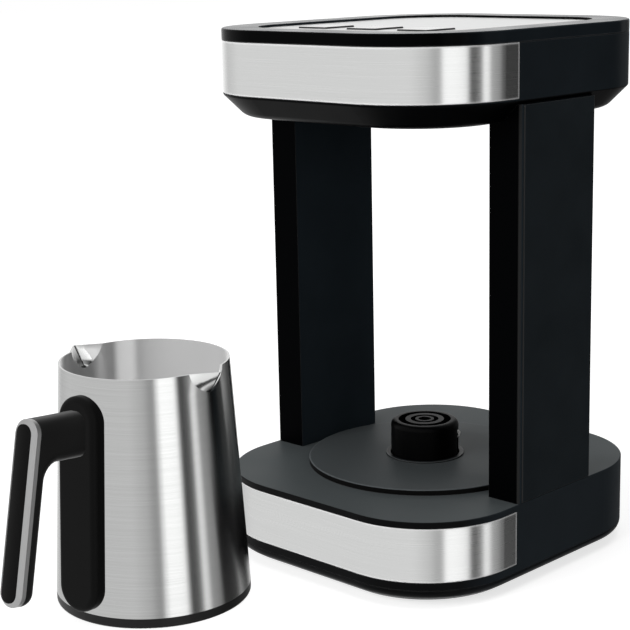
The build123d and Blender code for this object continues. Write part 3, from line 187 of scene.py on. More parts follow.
# ---------------------------------------------------------------- node helpers
class Tree:
    """A node tree with short ways to add and join nodes."""

    def __init__(self, tree):
        self.tree = tree
        self.column = 0

    def add(self, kind, **settings):
        """A new node with its settings, placed to the right of the last one."""
        node = self.tree.nodes.new(kind)
        for name, value in settings.items():
            setattr(node, name, value)
        node.location = (self.column, 0)
        self.column += 200
        return node

    def join(self, output, target):
        """Joins an output socket to an input socket."""
        self.tree.links.new(output, target)

    def value(self, target, value):
        """Gives an input either a plain value or another node's output."""
        if isinstance(value, bpy.types.NodeSocket):
            self.join(value, target)
        else:
            target.default_value = value

    def place(self):
        """Where a point lies on the piece."""
        return self.add("ShaderNodeTexCoord").outputs["Object"]

    def normal(self):
        """The way that the surface faces."""
        return self.add("ShaderNodeNewGeometry").outputs["Normal"]

    def split(self, vector):
        """The X, Y and Z of a vector."""
        node = self.add("ShaderNodeSeparateXYZ")
        self.join(vector, node.inputs[0])
        return node.outputs

    def vector(self, operation, first, second=(0.0, 0.0, 0.0), output=0):
        """The output of a Vector Math node; output 1 is a dot product's or a length's number."""
        node = self.add("ShaderNodeVectorMath", operation=operation)
        self.value(node.inputs[0], first)
        self.value(node.inputs[1], second)
        return node.outputs[output]

    def noise(self, place, scale, detail):
        """A Noise Texture node: its pattern repeats about as often in a metre as its scale says."""
        node = self.add("ShaderNodeTexNoise", noise_dimensions="3D")
        self.join(place, node.inputs["Vector"])
        self.value(node.inputs["Scale"], scale)
        node.inputs["Detail"].default_value = detail
        return node

    def math(self, operation, first, second=0.0, clamp=False):
        """The output of a Math node."""
        node = self.add("ShaderNodeMath", operation=operation, use_clamp=clamp)
        self.value(node.inputs[0], first)
        self.value(node.inputs[1], second)
        return node.outputs[0]

    def span(self, value, low, high, to_low=0.0, to_high=1.0):
        """A value moved from one range to another, and held inside it."""
        node = self.add("ShaderNodeMapRange", clamp=True)
        self.value(node.inputs["Value"], value)
        self.value(node.inputs["From Min"], low)
        self.value(node.inputs["From Max"], high)
        self.value(node.inputs["To Min"], to_low)
        self.value(node.inputs["To Max"], to_high)
        return node.outputs["Result"]

    def mix(self, factor, first, second):
        """Two colours mixed by a factor."""
        node = self.add("ShaderNodeMix", data_type="RGBA")
        self.value(node.inputs["Factor"], factor)
        self.value(node.inputs[6], first)
        self.value(node.inputs[7], second)
        return node.outputs[2]

    def relief(self, shader, height, strength, depth):
        """Presses a pattern into the surface."""
        bump = self.add("ShaderNodeBump")
        bump.inputs["Strength"].default_value = strength
        bump.inputs["Distance"].default_value = depth
        self.join(height, bump.inputs["Height"])
        self.join(bump.outputs["Normal"], shader.inputs["Normal"])

    def paint_over(self, shader, mask, colour):
        """Lays another colour over the shader's own where a mask is one."""
        own = shader.inputs["Base Color"].links[0].from_socket
        self.join(self.mix(mask, own, rgba(colour)), shader.inputs["Base Color"])


def new_group(name, inputs, outputs):
    """An empty shader node group with named sockets; returns its tree, input node and output node."""
    group = bpy.data.node_groups.new(name, "ShaderNodeTree")
    for label, kind, value in inputs:
        socket = group.interface.new_socket(label, in_out="INPUT", socket_type=kind)
        if value is not None:
            socket.default_value = value
    for label, kind in outputs:
        group.interface.new_socket(label, in_out="OUTPUT", socket_type=kind)
    tree = Tree(group)
    start = tree.add("NodeGroupInput")
    end = group.nodes.new("NodeGroupOutput")
    return tree, start, end


def moulding_grain_group():
    """Fine spark-eroded grain of moulded plastic: a height, and soft patches for colour and roughness."""
    tree, start, end = new_group(
        "Moulding grain",
        [("Grain size", "NodeSocketFloat", 0.0006), ("Patch size", "NodeSocketFloat", 0.03)],
        [("Height", "NodeSocketFloat"), ("Patches", "NodeSocketFloat")],
    )
    place = tree.place()
    fine = tree.noise(place, tree.math("DIVIDE", 1.0, start.outputs["Grain size"]), 3.0)
    broad = tree.noise(place, tree.math("DIVIDE", 1.0, start.outputs["Patch size"]), 2.0)
    tree.join(fine.outputs["Fac"], end.inputs["Height"])
    tree.join(tree.span(broad.outputs["Fac"], 0.3, 0.7), end.inputs["Patches"])
    return tree.tree


def brush_lines_group():
    """Brushed lines: noise drawn out along one or two axes, with a height and a streak mask."""
    tree, start, end = new_group(
        "Brushed lines",
        [
            ("Line width", "NodeSocketFloat", 0.0002),
            ("Across", "NodeSocketVector", (0.01, 0.01, 1.0)),
        ],
        [("Height", "NodeSocketFloat"), ("Streaks", "NodeSocketFloat")],
    )
    drawn = tree.vector("MULTIPLY", tree.place(), start.outputs["Across"])
    fine = tree.noise(drawn, tree.math("DIVIDE", 1.0, start.outputs["Line width"]), 2.0)
    fine.inputs["Roughness"].default_value = 0.6
    broad = tree.noise(drawn, tree.math("DIVIDE", 0.12, start.outputs["Line width"]), 3.0)
    tree.join(fine.outputs["Fac"], end.inputs["Height"])
    narrow = tree.math("MULTIPLY", fine.outputs["Fac"], 0.88)
    wide = tree.math("MULTIPLY", broad.outputs["Fac"], 0.12)
    tree.join(tree.span(tree.math("ADD", narrow, wide), 0.3, 0.7), end.inputs["Streaks"])
    return tree.tree


def edge_highlight_group():
    """A mask that is one on the sharp edges of a piece, where a painted highlight goes."""
    tree, start, end = new_group(
        "Edge highlight",
        [("Edge width", "NodeSocketFloat", 0.0006), ("Sharpness", "NodeSocketFloat", 0.2)],
        [("Edge", "NodeSocketFloat")],
    )
    rounded = tree.add("ShaderNodeBevel", samples=4)
    tree.join(start.outputs["Edge width"], rounded.inputs["Radius"])
    same = tree.vector("DOT_PRODUCT", rounded.outputs["Normal"], tree.normal(), output=1)
    turned = tree.math("SUBTRACT", 1.0, same, clamp=True)
    tree.join(tree.span(turned, 0.02, start.outputs["Sharpness"]), end.inputs["Edge"])
    return tree.tree


def corner_highlight_group():
    """A mask that is one on the small rounded corners of a square-sided piece, where a painted highlight
    goes.
    """
    tree, start, end = new_group(
        "Corner highlight", [("Full at", "NodeSocketFloat", 0.12)], [("Corner", "NodeSocketFloat")]
    )
    x, y, z = tree.split(tree.vector("ABSOLUTE", tree.normal()))
    slant = tree.math("SUBTRACT", 1.0, tree.math("MAXIMUM", tree.math("MAXIMUM", x, y), z))
    tree.join(tree.span(slant, 0.01, start.outputs["Full at"]), end.inputs["Corner"])
    return tree.tree


GROUPS = {}


def group_node(tree, make, **values):
    """Places one of the shared node groups, made the first time it is asked for."""
    if make.__name__ not in GROUPS:
        GROUPS[make.__name__] = make()
    node = tree.add("ShaderNodeGroup", node_tree=GROUPS[make.__name__])
    for name, value in values.items():
        tree.value(node.inputs[name.replace("_", " ").capitalize()], value)
    return node


def blank_material(name):
    """A material with only a Principled shader and its output; returns it with its tree and shader."""
    material = bpy.data.materials.new(name)
    material.use_nodes = True
    tree = Tree(material.node_tree)
    tree.tree.nodes.clear()
    output = tree.add("ShaderNodeOutputMaterial")
    shader = tree.add("ShaderNodeBsdfPrincipled")
    tree.join(shader.outputs["BSDF"], output.inputs["Surface"])
    return material, tree, shader


def opened(material):
    """The tree and the Principled shader of a material that gets another layer."""
    tree = Tree(material.node_tree)
    return tree, tree.tree.nodes["Principled BSDF"]


def rgba(colour):
    """A colour with full alpha."""
    return (*colour, 1.0)


def shade(colour, factor):
    """A colour made lighter or darker."""
    return tuple(min(1.0, part * factor) for part in colour)


# ---------------------------------------------------------------- materials
def moulded_plastic(name, colour, roughness, gloss, grain, painted_facing_tones=(), edge=0.0, square=False):
    """Moulded plastic: a fine grain in relief, soft patches of colour and roughness, and painted edge
    highlights.

    Each listed axis gives another colour to the faces that look along it: a lighter one is painted light,
    a darker one painted shade. A square piece also has a painted highlight on its small rounded corners.
    """
    material, tree, shader = blank_material(name)
    grain_node = group_node(tree, moulding_grain_group, grain_size=grain, patch_size=PATCH_SIZE)
    patches = grain_node.outputs["Patches"]
    tone = tree.mix(patches, rgba(shade(colour, 0.92)), rgba(shade(colour, 1.08)))
    # Painted light and shade: faces that look along an axis get a lighter or darker copy of the colour
    for axis, low, high, other in painted_facing_tones:
        other_tone = tree.mix(patches, rgba(shade(other, 0.96)), rgba(shade(other, 1.04)))
        tone = tree.mix(tree.span(tree.split(tree.normal())[axis], low, high), tone, other_tone)
    # Painted highlight on the sharp edges, and on a square piece's rounded corners, as light as edge says
    if edge:
        edge_highlight = group_node(tree, edge_highlight_group).outputs["Edge"]
        if square:
            edge_highlight = tree.math("MAXIMUM", edge_highlight, group_node(tree, corner_highlight_group).outputs["Corner"])
        tone = tree.mix(tree.math("MULTIPLY", edge_highlight, EDGE_HIGHLIGHT_SHARE), tone, rgba((edge, edge, edge)))
    tree.join(tone, shader.inputs["Base Color"])
    tree.join(tree.span(patches, 0.0, 1.0, roughness - 0.04, roughness + 0.04), shader.inputs["Roughness"])
    shader.inputs["Specular IOR Level"].default_value = gloss
    tree.relief(shader, grain_node.outputs["Height"], 0.5, grain / GRAIN_FLATNESS)
    return material


def brushed_metal(name, colour, roughness, line, across, contrast=0.03, drawn=0.0, metallic=1.0):
    """Brushed metal with lines drawn along a direction; colour and roughness follow the streaks."""
    material, tree, shader = blank_material(name)
    lines = group_node(tree, brush_lines_group, line_width=line)
    lines.inputs["Across"].default_value = across
    streaks = lines.outputs["Streaks"]
    tone = tree.mix(streaks, rgba(shade(colour, 1 - contrast)), rgba(shade(colour, 1 + contrast)))
    tree.join(tone, shader.inputs["Base Color"])
    tree.join(tree.span(streaks, 0.0, 1.0, roughness + 0.01, roughness - 0.01), shader.inputs["Roughness"])
    shader.inputs["Metallic"].default_value = metallic
    shader.inputs["Anisotropic"].default_value = drawn
    shader.inputs["Anisotropic Rotation"].default_value = 0.25
    tree.relief(shader, lines.outputs["Height"], 0.6, BRUSH_DEPTH)
    return material


def band_steel(name, finish, band):
    """Brushed steel of a front band, with a painted highlight along its edges: the top, the bottom and the
    two ends.
    """
    material = brushed_metal(name, finish.steel_colour, 0.28, finish.brush_size, ROUND, drawn=1.0)
    tree, shader = opened(material)
    low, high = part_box(band)
    split = tree.split(tree.place())
    top = tree.span(split["Z"], high[2] - BAND_HIGHLIGHT_WIDTH, high[2] - BAND_HIGHLIGHT_WIDTH / 3)
    bottom = tree.span(split["Z"], low[2] + BAND_HIGHLIGHT_WIDTH, low[2] + BAND_HIGHLIGHT_WIDTH / 3)
    ends = tree.span(split["Y"], high[1] - BAND_HIGHLIGHT_WIDTH, high[1] - BAND_HIGHLIGHT_WIDTH / 3)
    rim = tree.math("MAXIMUM", tree.math("MAXIMUM", top, bottom), ends)
    # Painted highlight along the band's top, bottom and ends
    tree.paint_over(shader, rim, BAND_EDGE_HIGHLIGHT)
    tree.join(tree.span(rim, 0.0, 1.0, 1.0, 0.3), shader.inputs["Metallic"])
    return material


def painted_rim_highlight(material, radius, colour):
    """Paints a highlight on the upward faces of the outermost rim of a round piece about the hub's axis."""
    tree, shader = opened(material)
    flat = tree.vector("MULTIPLY", tree.place(), (1.0, 1.0, 0.0))
    reach = tree.vector("LENGTH", flat, output=1)
    outermost = tree.span(reach, radius - RIM_HIGHLIGHT_INSET[0], radius - RIM_HIGHLIGHT_INSET[1])
    rim = tree.math("MULTIPLY", outermost, tree.span(tree.split(tree.normal())["Z"], 0.1, 0.5))
    tree.paint_over(shader, rim, colour)


def circuit_board(name, lacquer, copper):
    """Lacquered board with copper tracks under the lacquer, and bright solder on the pads."""
    material, tree, shader = blank_material(name)
    place = tree.place()
    tracks = tree.add("ShaderNodeTexBrick", offset=0.37, squash=0.6, squash_frequency=3)
    tree.join(place, tracks.inputs["Vector"])
    tracks.inputs["Scale"].default_value = 90.0
    tracks.inputs["Mortar Size"].default_value = 0.04
    tracks.inputs["Color1"].default_value = rgba(lacquer)
    tracks.inputs["Color2"].default_value = rgba(shade(lacquer, 0.85))
    tracks.inputs["Mortar"].default_value = rgba(copper)
    pads = tree.add("ShaderNodeTexVoronoi", feature="F1")
    tree.join(place, pads.inputs["Vector"])
    pads.inputs["Scale"].default_value = 260.0
    solder = tree.math("LESS_THAN", pads.outputs["Distance"], 0.22)
    tree.join(tree.mix(solder, tracks.outputs["Color"], rgba(SOLDER)), shader.inputs["Base Color"])
    tree.join(solder, shader.inputs["Metallic"])
    tree.join(tree.span(solder, 0.0, 1.0, 0.35, 0.25), shader.inputs["Roughness"])
    tree.relief(shader, tree.math("ADD", solder, tracks.outputs["Fac"]), 0.4, 0.0001)
    return material


def satin_inside(material, axis_place, colour):
    """Turns the jug's inside into lighter blasted metal, and polishes its lips and rim."""
    tree, shader = opened(material)
    out = tree.vector("SUBTRACT", tree.place(), axis_place)
    flat = tree.vector("MULTIPLY", out, (1.0, 1.0, 0.0))
    facing_out = tree.vector("DOT_PRODUCT", flat, tree.normal(), output=1)
    rise = tree.split(tree.normal())["Z"]
    height = tree.split(out)["Z"]
    upright = tree.math("LESS_THAN", tree.math("ABSOLUTE", rise), 0.35)
    wall = tree.math("MULTIPLY", tree.math("LESS_THAN", facing_out, 0.0), upright)
    low = tree.math("LESS_THAN", height, JUG_FLOOR)
    bottom = tree.math("MULTIPLY", tree.math("GREATER_THAN", rise, 0.8), low)
    inside = tree.math("MAXIMUM", wall, bottom)
    tilted = tree.math("GREATER_THAN", tree.math("ABSOLUTE", rise), 0.2)
    high = tree.math("GREATER_THAN", height, LIP_FOOT - axis_place[2])
    lip = tree.math("MULTIPLY", tilted, high)
    side_roughness = shader.inputs["Roughness"].links[0].from_socket
    smoother = tree.math("SUBTRACT", side_roughness, tree.math("MULTIPLY", lip, 0.12))
    tree.join(smoother, shader.inputs["Roughness"])
    tree.paint_over(shader, inside, colour)
    tree.join(tree.span(inside, 0.0, 1.0, 1.0, 0.35), shader.inputs["Metallic"])


def dress(material, *names):
    """Gives a material to CAD nodes."""
    for name in names:
        slots = nodes[name].data.materials
        slots.clear()
        slots.append(material)


# ---------------------------------------------------------------- operators
class COFFEEMAKER_OT_base(bpy.types.Operator):
    """Finish the base: pan, housing, band and feet"""

    bl_idname = "coffeemaker.base"
    bl_label = "Base"

    def execute(self, context):
        finish = context.scene.coffee_maker_finish
        grain = finish.grain_size
        # Painted shade on the faces that look to the front
        painted_front_shade = ("Y", -0.05, -0.5, finish.front_shade_colour)
        # Painted light on the pan's downward faces, a lighter grey
        painted_underside = ("Z", -0.15, -0.7, PAN_UNDERSIDE_LIGHT)
        dress(
            moulded_plastic(
                "Pan plastic", finish.moulding_colour, 0.35, 0.05, grain, [painted_underside, painted_front_shade], 0.03
            ),
            "base_pan",
        )
        # Painted light on the deck's upward face
        painted_deck_light = ("Z", 0.93, 0.99, finish.deck_light_colour)
        dress(
            moulded_plastic(
                "Housing plastic", finish.housing_colour, 0.5, 0.06, grain, [painted_front_shade, painted_deck_light], 0.08
            ),
            "base_housing",
        )
        dress(band_steel("Base band steel", finish, "base_front_band"), "base_front_band")
        dress(moulded_plastic("Foot rubber", SOFT_BLACK, 0.8, 0.3, grain), "rubber_feet")
        return {"FINISHED"}


class COFFEEMAKER_OT_hub(bpy.types.Operator):
    """Finish the platform disc, the power hub and its contacts"""

    bl_idname = "coffeemaker.hub"
    bl_label = "Disc and hub"

    def execute(self, context):
        finish = context.scene.coffee_maker_finish
        grain = finish.grain_size
        # Painted light on the disc's upward face; its other faces keep a near-black painted shade
        painted_disc_light = ("Z", 0.8, 0.97, finish.disc_light_colour)
        disc = moulded_plastic("Disc plastic", DISC_SIDE_SHADE, 0.5, 0.06, grain, [painted_disc_light], 0.05)
        # Painted highlight on the disc's rim
        painted_rim_highlight(disc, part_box("platform_disc")[1][0], DISC_RIM_HIGHLIGHT)
        dress(disc, "platform_disc")
        dress(moulded_plastic("Hub plastic", HUB_BLACK, 0.4, 0.05, grain, edge=0.06), "power_hub")
        collar = moulded_plastic("Collar plastic", COLLAR_BLACK, 0.4, 0.08, grain, edge=0.05)
        # Painted highlight on the collar's rim
        painted_rim_highlight(collar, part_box("hub_collar")[1][0], COLLAR_RIM_HIGHLIGHT)
        dress(collar, "hub_collar")
        dress(
            brushed_metal("Contact brass", BRASS, 0.3, CONTACT_LINE, UPRIGHT),
            "hub_ring_contacts", "hub_centre_contact", "jug_socket_contacts",
        )
        dress(
            brushed_metal("Spring nickel", NICKEL, 0.2, CONTACT_LINE, UPRIGHT, metallic=0.4),
            "hub_side_contact",
        )
        return {"FINISHED"}


class COFFEEMAKER_OT_pillars(bpy.types.Operator):
    """Finish the pillars' channels and side panels"""

    bl_idname = "coffeemaker.pillars"
    bl_label = "Pillars"

    def execute(self, context):
        finish = context.scene.coffee_maker_finish
        grain = finish.grain_size
        # Painted shade on the faces that look to the front
        painted_front_shade = ("Y", -0.5, -0.9, finish.front_shade_colour)
        dress(
            moulded_plastic(
                "Pillar plastic", finish.pillar_colour, 0.5, 0.008, grain, [painted_front_shade],
                edge=0.03, square=True,
            ),
            "left_pillar_channel", "right_pillar_channel",
        )
        dress(
            moulded_plastic("Panel plastic", finish.panel_colour, 0.35, 0.08, grain, edge=0.06, square=True),
            "left_side_panel", "right_side_panel",
        )
        return {"FINISHED"}


class COFFEEMAKER_OT_head(bpy.types.Operator):
    """Finish the head: lower shell, band, top cover, control plate and buttons"""

    bl_idname = "coffeemaker.head"
    bl_label = "Head and controls"

    def execute(self, context):
        finish = context.scene.coffee_maker_finish
        grain = finish.grain_size
        # Painted shade on the faces that look to the front
        painted_front_shade = ("Y", -0.05, -0.5, finish.front_shade_colour)
        # Painted shade on the head's downward faces, a deep black
        painted_underside = ("Z", -0.1, -0.4, finish.front_shade_colour)
        dress(
            moulded_plastic(
                "Head plastic", finish.housing_colour, 0.35, 0.025, grain, [painted_front_shade, painted_underside], 0.08
            ),
            "head_lower_shell",
        )
        dress(
            moulded_plastic("Cover plastic", finish.housing_colour, 0.2, 0.02, grain, [painted_front_shade], 0.2),
            "head_top_cover",
        )
        dress(band_steel("Head band steel", finish, "head_front_band"), "head_front_band")
        dress(
            brushed_metal("Control plate steel", finish.steel_colour, 0.3, finish.brush_size, ACROSS),
            "control_plate",
        )
        dress(
            brushed_metal("Button metal", finish.steel_colour, 0.25, finish.brush_size, ACROSS),
            "left_button", "middle_button", "right_button",
        )
        dress(
            moulded_plastic("Switch plastic", SOFT_BLACK, 0.4, 0.4, grain),
            "button_switches", "left_button_plunger", "middle_button_plunger", "right_button_plunger",
            "buzzer", "foam_sensor", "sensor_window",
        )
        return {"FINISHED"}


class COFFEEMAKER_OT_jug(bpy.types.Operator):
    """Finish the jug's body, base and heater"""

    bl_idname = "coffeemaker.jug"
    bl_label = "Jug"

    def execute(self, context):
        finish = context.scene.coffee_maker_finish
        grain = finish.grain_size
        low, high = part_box("jug_bottom_cover")
        axis_place = tuple((Vector(low) + Vector(high)) / 2)
        steel = brushed_metal(
            "Jug steel", shade(finish.steel_colour, 0.75), 0.25, finish.brush_size, ROUND,
            contrast=0.06, drawn=1.0
        )
        satin_inside(steel, axis_place, BLASTED_STEEL)
        dress(steel, "jug_body", "heater_plate")
        dress(
            moulded_plastic("Jug base plastic", finish.handle_colour, 0.4, 0.15, grain),
            "jug_base_ring", "jug_bottom_cover", "jug_socket",
        )
        dress(brushed_metal("Spreader aluminium", ALUMINIUM, 0.4, PLAIN_LINE, ACROSS), "heat_spreader")
        dress(
            brushed_metal("Element sheath", SHEATH_STEEL, 0.45, PLAIN_LINE, EVEN),
            "heating_element", "thermostat",
        )
        return {"FINISHED"}


class COFFEEMAKER_OT_handle(bpy.types.Operator):
    """Finish the jug's handle"""

    bl_idname = "coffeemaker.handle"
    bl_label = "Handle"

    def execute(self, context):
        finish = context.scene.coffee_maker_finish
        grain = finish.grain_size
        dress(
            moulded_plastic("Handle plastic", finish.handle_colour, 0.45, 0.12, grain, edge=0.03),
            "handle_grip",
        )
        dress(
            moulded_plastic("Inset plastic", shade(finish.handle_colour, 0.25), 0.5, 0.06, grain),
            "handle_backplate", "handle_insert",
        )
        dress(brushed_metal("Trim steel", DARK_STEEL, 0.45, PLAIN_LINE, UPRIGHT), "handle_trim_ring")
        return {"FINISHED"}


class COFFEEMAKER_OT_inside(bpy.types.Operator):
    """Finish the boards, wires and screws"""

    bl_idname = "coffeemaker.inside"
    bl_label = "Inner pieces"

    def execute(self, context):
        grain = context.scene.coffee_maker_finish.grain_size
        dress(circuit_board("Board", LACQUER_GREEN, TRACK_GREEN), "power_board", "control_board")
        dress(moulded_plastic("Core", CORE_GREY, 0.5, 0.4, grain), "transformer", "heater_relay")
        dress(
            moulded_plastic("Terminal plastic", TERMINAL_CREAM, 0.45, 0.4, grain),
            "mains_terminal_block", "harness_connectors",
        )
        dress(moulded_plastic("Wire plastic", WIRE_GREY, 0.5, 0.4, grain), "wiring_harness")
        dress(moulded_plastic("Gland plastic", GLAND_BLACK, 0.45, 0.3, grain), "cord_gland")
        dress(
            brushed_metal("Screw steel", SCREW_STEEL, 0.35, PLAIN_LINE, EVEN),
            *[name for name in nodes if name.endswith(("screws", "screw"))],
        )
        return {"FINISHED"}


class COFFEEMAKER_OT_stage(bpy.types.Operator):
    """Lay the floor, set the lights and place the camera"""

    bl_idname = "coffeemaker.stage"
    bl_label = "Stage"

    def execute(self, context):
        stage = context.scene.coffee_maker_stage
        lay_floor(stage.floor_size)
        set_world(context.scene)
        set_lights(context.scene)
        place_camera(context.scene, stage)
        context.scene.view_settings.view_transform = "Standard"
        return {"FINISHED"}


# ---------------------------------------------------------------- stage
def lay_floor(size):
    """A plain white floor that keeps the object's shadow and shows white beyond it."""
    mesh = bpy.data.meshes.new("floor")
    shape = bmesh.new()
    bmesh.ops.create_grid(shape, x_segments=1, y_segments=1, size=size / 2)
    shape.to_mesh(mesh)
    shape.free()
    floor = bpy.data.objects.new("floor", mesh)
    bpy.context.scene.collection.objects.link(floor)
    mesh.materials.append(floor_paint())
    floor.visible_glossy = False


def seen_rays(tree):
    """One for the rays that show the background: the camera's, and those that metal and glass send on."""
    path = tree.add("ShaderNodeLightPath")
    seen = tree.math("MAXIMUM", path.outputs["Is Camera Ray"], path.outputs["Is Transmission Ray"])
    return tree.math("MAXIMUM", seen, path.outputs["Is Glossy Ray"])


def floor_paint():
    """White paint for the camera, with the object's shadow on it, and grey for the light it throws back."""
    material = bpy.data.materials.new("Floor paint")
    material.use_nodes = True
    tree = Tree(material.node_tree)
    tree.tree.nodes.clear()
    output = tree.add("ShaderNodeOutputMaterial")
    bounce = tree.add("ShaderNodeBsdfDiffuse")
    bounce.inputs["Color"].default_value = (0.3, 0.3, 0.3, 1.0)
    shadowed = tree.add("ShaderNodeBsdfDiffuse")
    shadowed.inputs["Color"].default_value = (0.6, 0.6, 0.6, 1.0)
    glow = tree.add("ShaderNodeEmission")
    # Painted shade: the glow is weaker near the object, so that the floor around it shows darker where its
    # shadow falls
    away = tree.vector("LENGTH", tree.place(), output=1)
    tree.join(tree.span(away, 0.2, 0.8, 0.7, 1.0), glow.inputs["Strength"])
    white = tree.add("ShaderNodeAddShader")
    tree.join(shadowed.outputs[0], white.inputs[0])
    tree.join(glow.outputs[0], white.inputs[1])
    blend = tree.add("ShaderNodeMixShader")
    tree.join(seen_rays(tree), blend.inputs[0])
    tree.join(bounce.outputs[0], blend.inputs[1])
    tree.join(white.outputs[0], blend.inputs[2])
    tree.join(blend.outputs[0], output.inputs["Surface"])
    return material


# What stands round the set, by its angle from the front towards the right, with its brightness
SURROUND = (
    (-180, 0.3),  # dark doorway behind, with a slit of light
    (-168, 0.05),
    (-158, 0.5),
    (-145, 1.1),  # bright wall behind left
    (-118, 1.1),
    (-95, 0.75),
    (-70, 0.98),  # white wall in front
    (27, 1.0),
    (46, 0.8),
    (55, 0.55),
    (60, 0.48),
    (64, 1.5),  # softbox at the right
    (90.5, 1.45),
    (93.5, 0.05),  # gap beside it
    (107, 0.1),
    (111, 1.5),  # strip light
    (117, 1.5),
    (120, 0.58),  # grey door
    (134, 0.45),
    (139, 0.05),  # dark doorway again
    (167, 0.05),
    (170, 0.7),
    (180, 0.3),
)


def surround_colour(tree):
    """The brightness of what stands round the set, in each direction, under a white ceiling."""
    x, y, z = tree.split(tree.add("ShaderNodeTexCoord").outputs["Generated"])
    angle = tree.math("ARCTAN2", x, tree.math("MULTIPLY", y, -1.0))
    overhead = tree.span(z, 0.5, 0.9)
    ramp = tree.add("ShaderNodeValToRGB")
    tree.join(tree.span(angle, -math.pi, math.pi), ramp.inputs["Fac"])
    stops = ramp.color_ramp.elements
    for number, (degrees, level) in enumerate(SURROUND):
        spot = (degrees + 180) / 360
        stop = stops[number] if number < 2 else stops.new(spot)
        stop.position = spot
        stop.color = (level, level, level, 1.0)
    return tree.mix(overhead, ramp.outputs["Color"], rgba(WHITE))


def set_world(scene):
    """A soft grey light; the camera sees it white, and metal and glass see the walls round the set."""
    world = bpy.data.worlds.new("Studio")
    scene.world = world
    world.use_nodes = True
    tree = Tree(world.node_tree)
    tree.tree.nodes.clear()
    output = tree.add("ShaderNodeOutputWorld")
    light = tree.add("ShaderNodeBackground")
    light.inputs["Color"].default_value = rgba(WHITE)
    light.inputs["Strength"].default_value = WORLD_LIGHT
    shown = tree.add("ShaderNodeBackground")
    path = tree.add("ShaderNodeLightPath")
    seen = tree.mix(path.outputs["Is Glossy Ray"], rgba(WHITE), surround_colour(tree))
    tree.join(seen, shown.inputs["Color"])
    blend = tree.add("ShaderNodeMixShader")
    tree.join(seen_rays(tree), blend.inputs[0])
    tree.join(light.outputs[0], blend.inputs[1])
    tree.join(shown.outputs[0], blend.inputs[2])
    tree.join(blend.outputs[0], output.inputs["Surface"])


def area_lamp(scene, name, place, target, width, height, power):
    """A soft rectangular lamp that faces a point."""
    lamp = bpy.data.lights.new(name, "AREA")
    lamp.shape = "RECTANGLE"
    lamp.size = width
    lamp.size_y = height
    lamp.energy = power
    holder = bpy.data.objects.new(name, lamp)
    scene.collection.objects.link(holder)
    holder.location = place
    holder.rotation_euler = (Vector(target) - Vector(place)).to_track_quat("-Z", "Y").to_euler()
    return holder


def set_lights(scene):
    """A large top light, softer ones from the right and the front, and a tall one that only the jug sees.

    Only the jug takes the tall light; it casts no shade from the front light, and it and the base band show
    in no reflection.
    """
    lamps = {settings[0]: area_lamp(scene, *settings) for settings in LAMPS}
    for lamp in lamps.values():
        lamp.visible_glossy = False
    low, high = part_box("jug_bottom_cover")
    jug_place = (Vector(low) + Vector(high)) / 2
    towards = Vector((math.sin(JUG_LAMP_ANGLE), -math.cos(JUG_LAMP_ANGLE), JUG_LAMP_RISE))
    lamp_place = jug_place + towards * JUG_LAMP_REACH
    tall = area_lamp(scene, "jug light", lamp_place, jug_place, *JUG_LAMP_SIZE, JUG_LAMP_POWER)
    jug_only = bpy.data.collections.new("jug by itself")
    machine_only = bpy.data.collections.new("machine by itself")
    for name, piece in nodes.items():
        if name.startswith(JUG_NAMES):
            jug_only.objects.link(piece)
            piece.visible_glossy = False
        else:
            machine_only.objects.link(piece)
    nodes["base_front_band"].visible_glossy = False
    tall.light_linking.receiver_collection = jug_only
    lamps["front light"].light_linking.blocker_collection = machine_only


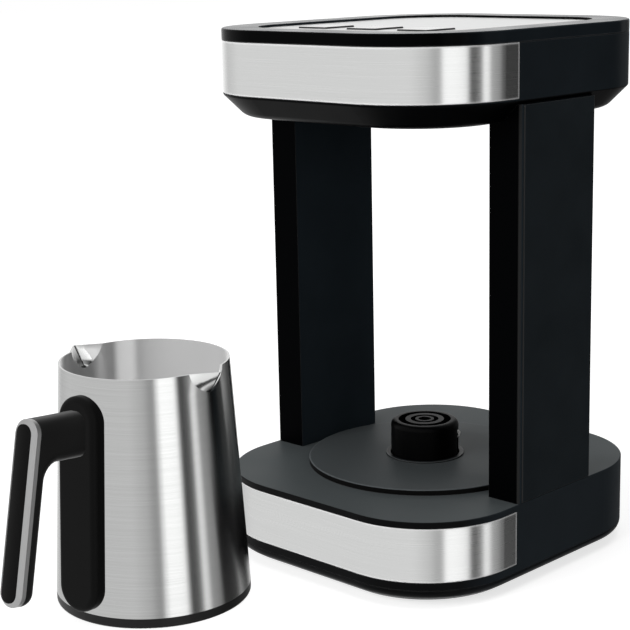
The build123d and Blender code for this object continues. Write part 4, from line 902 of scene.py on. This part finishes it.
def place_camera(scene, stage):
    """The camera, turned, tilted and rolled as the stage's settings say."""
    data = bpy.data.cameras.new("camera")
    data.lens = stage.lens
    data.sensor_width = SENSOR_WIDTH
    camera = bpy.data.objects.new("camera", data)
    scene.collection.objects.link(camera)
    scene.camera = camera
    turn, tilt = stage.azimuth, stage.elevation
    back = Vector((math.sin(turn) * math.cos(tilt), -math.cos(turn) * math.cos(tilt), math.sin(tilt)))
    level_right = Vector((math.cos(turn), math.sin(turn), 0.0))
    level_up = back.cross(level_right)
    right = level_right * math.cos(stage.roll) + level_up * math.sin(stage.roll)
    up = back.cross(right)
    camera.matrix_world = Matrix.Translation(Vector(stage.camera_place)) @ Matrix(
        ((right.x, up.x, back.x), (right.y, up.y, back.y), (right.z, up.z, back.z))
    ).to_4x4()


# ---------------------------------------------------------------- panel and registration
OPERATORS = (
    COFFEEMAKER_OT_base,
    COFFEEMAKER_OT_hub,
    COFFEEMAKER_OT_pillars,
    COFFEEMAKER_OT_head,
    COFFEEMAKER_OT_jug,
    COFFEEMAKER_OT_handle,
    COFFEEMAKER_OT_inside,
    COFFEEMAKER_OT_stage,
)


class COFFEEMAKER_PT_sidebar(bpy.types.Panel):
    """Lists the steps that finish the coffee maker"""

    bl_idname = "COFFEEMAKER_PT_sidebar"
    bl_label = "Coffee maker"
    bl_space_type = "VIEW_3D"
    bl_region_type = "UI"
    bl_category = "Coffee maker"

    def draw(self, context):
        for operator in OPERATORS:
            self.layout.operator(operator.bl_idname, text=operator.bl_label)
        for settings in (context.scene.coffee_maker_finish, context.scene.coffee_maker_stage):
            for name in settings.bl_rna.properties.keys():
                if name not in {"rna_type", "name"}:
                    self.layout.prop(settings, name)


CLASSES = (CoffeeMakerFinish, CoffeeMakerStage, *OPERATORS, COFFEEMAKER_PT_sidebar)


def register():
    """Registers the classes and hangs the settings on the scene."""
    for item in CLASSES:
        bpy.utils.register_class(item)
    bpy.types.Scene.coffee_maker_finish = bpy.props.PointerProperty(type=CoffeeMakerFinish)
    bpy.types.Scene.coffee_maker_stage = bpy.props.PointerProperty(type=CoffeeMakerStage)


def unregister():
    """Takes the settings and classes away again."""
    del bpy.types.Scene.coffee_maker_stage
    del bpy.types.Scene.coffee_maker_finish
    for item in reversed(CLASSES):
        bpy.utils.unregister_class(item)


def main():
    """Runs every operator in order."""
    register()
    for operator in OPERATORS:
        area, name = operator.bl_idname.split(".")
        result = getattr(getattr(bpy.ops, area), name)()
        if "FINISHED" not in result:
            raise RuntimeError(f"{operator.bl_label} did not finish")


if __name__ == "__main__":
    main()
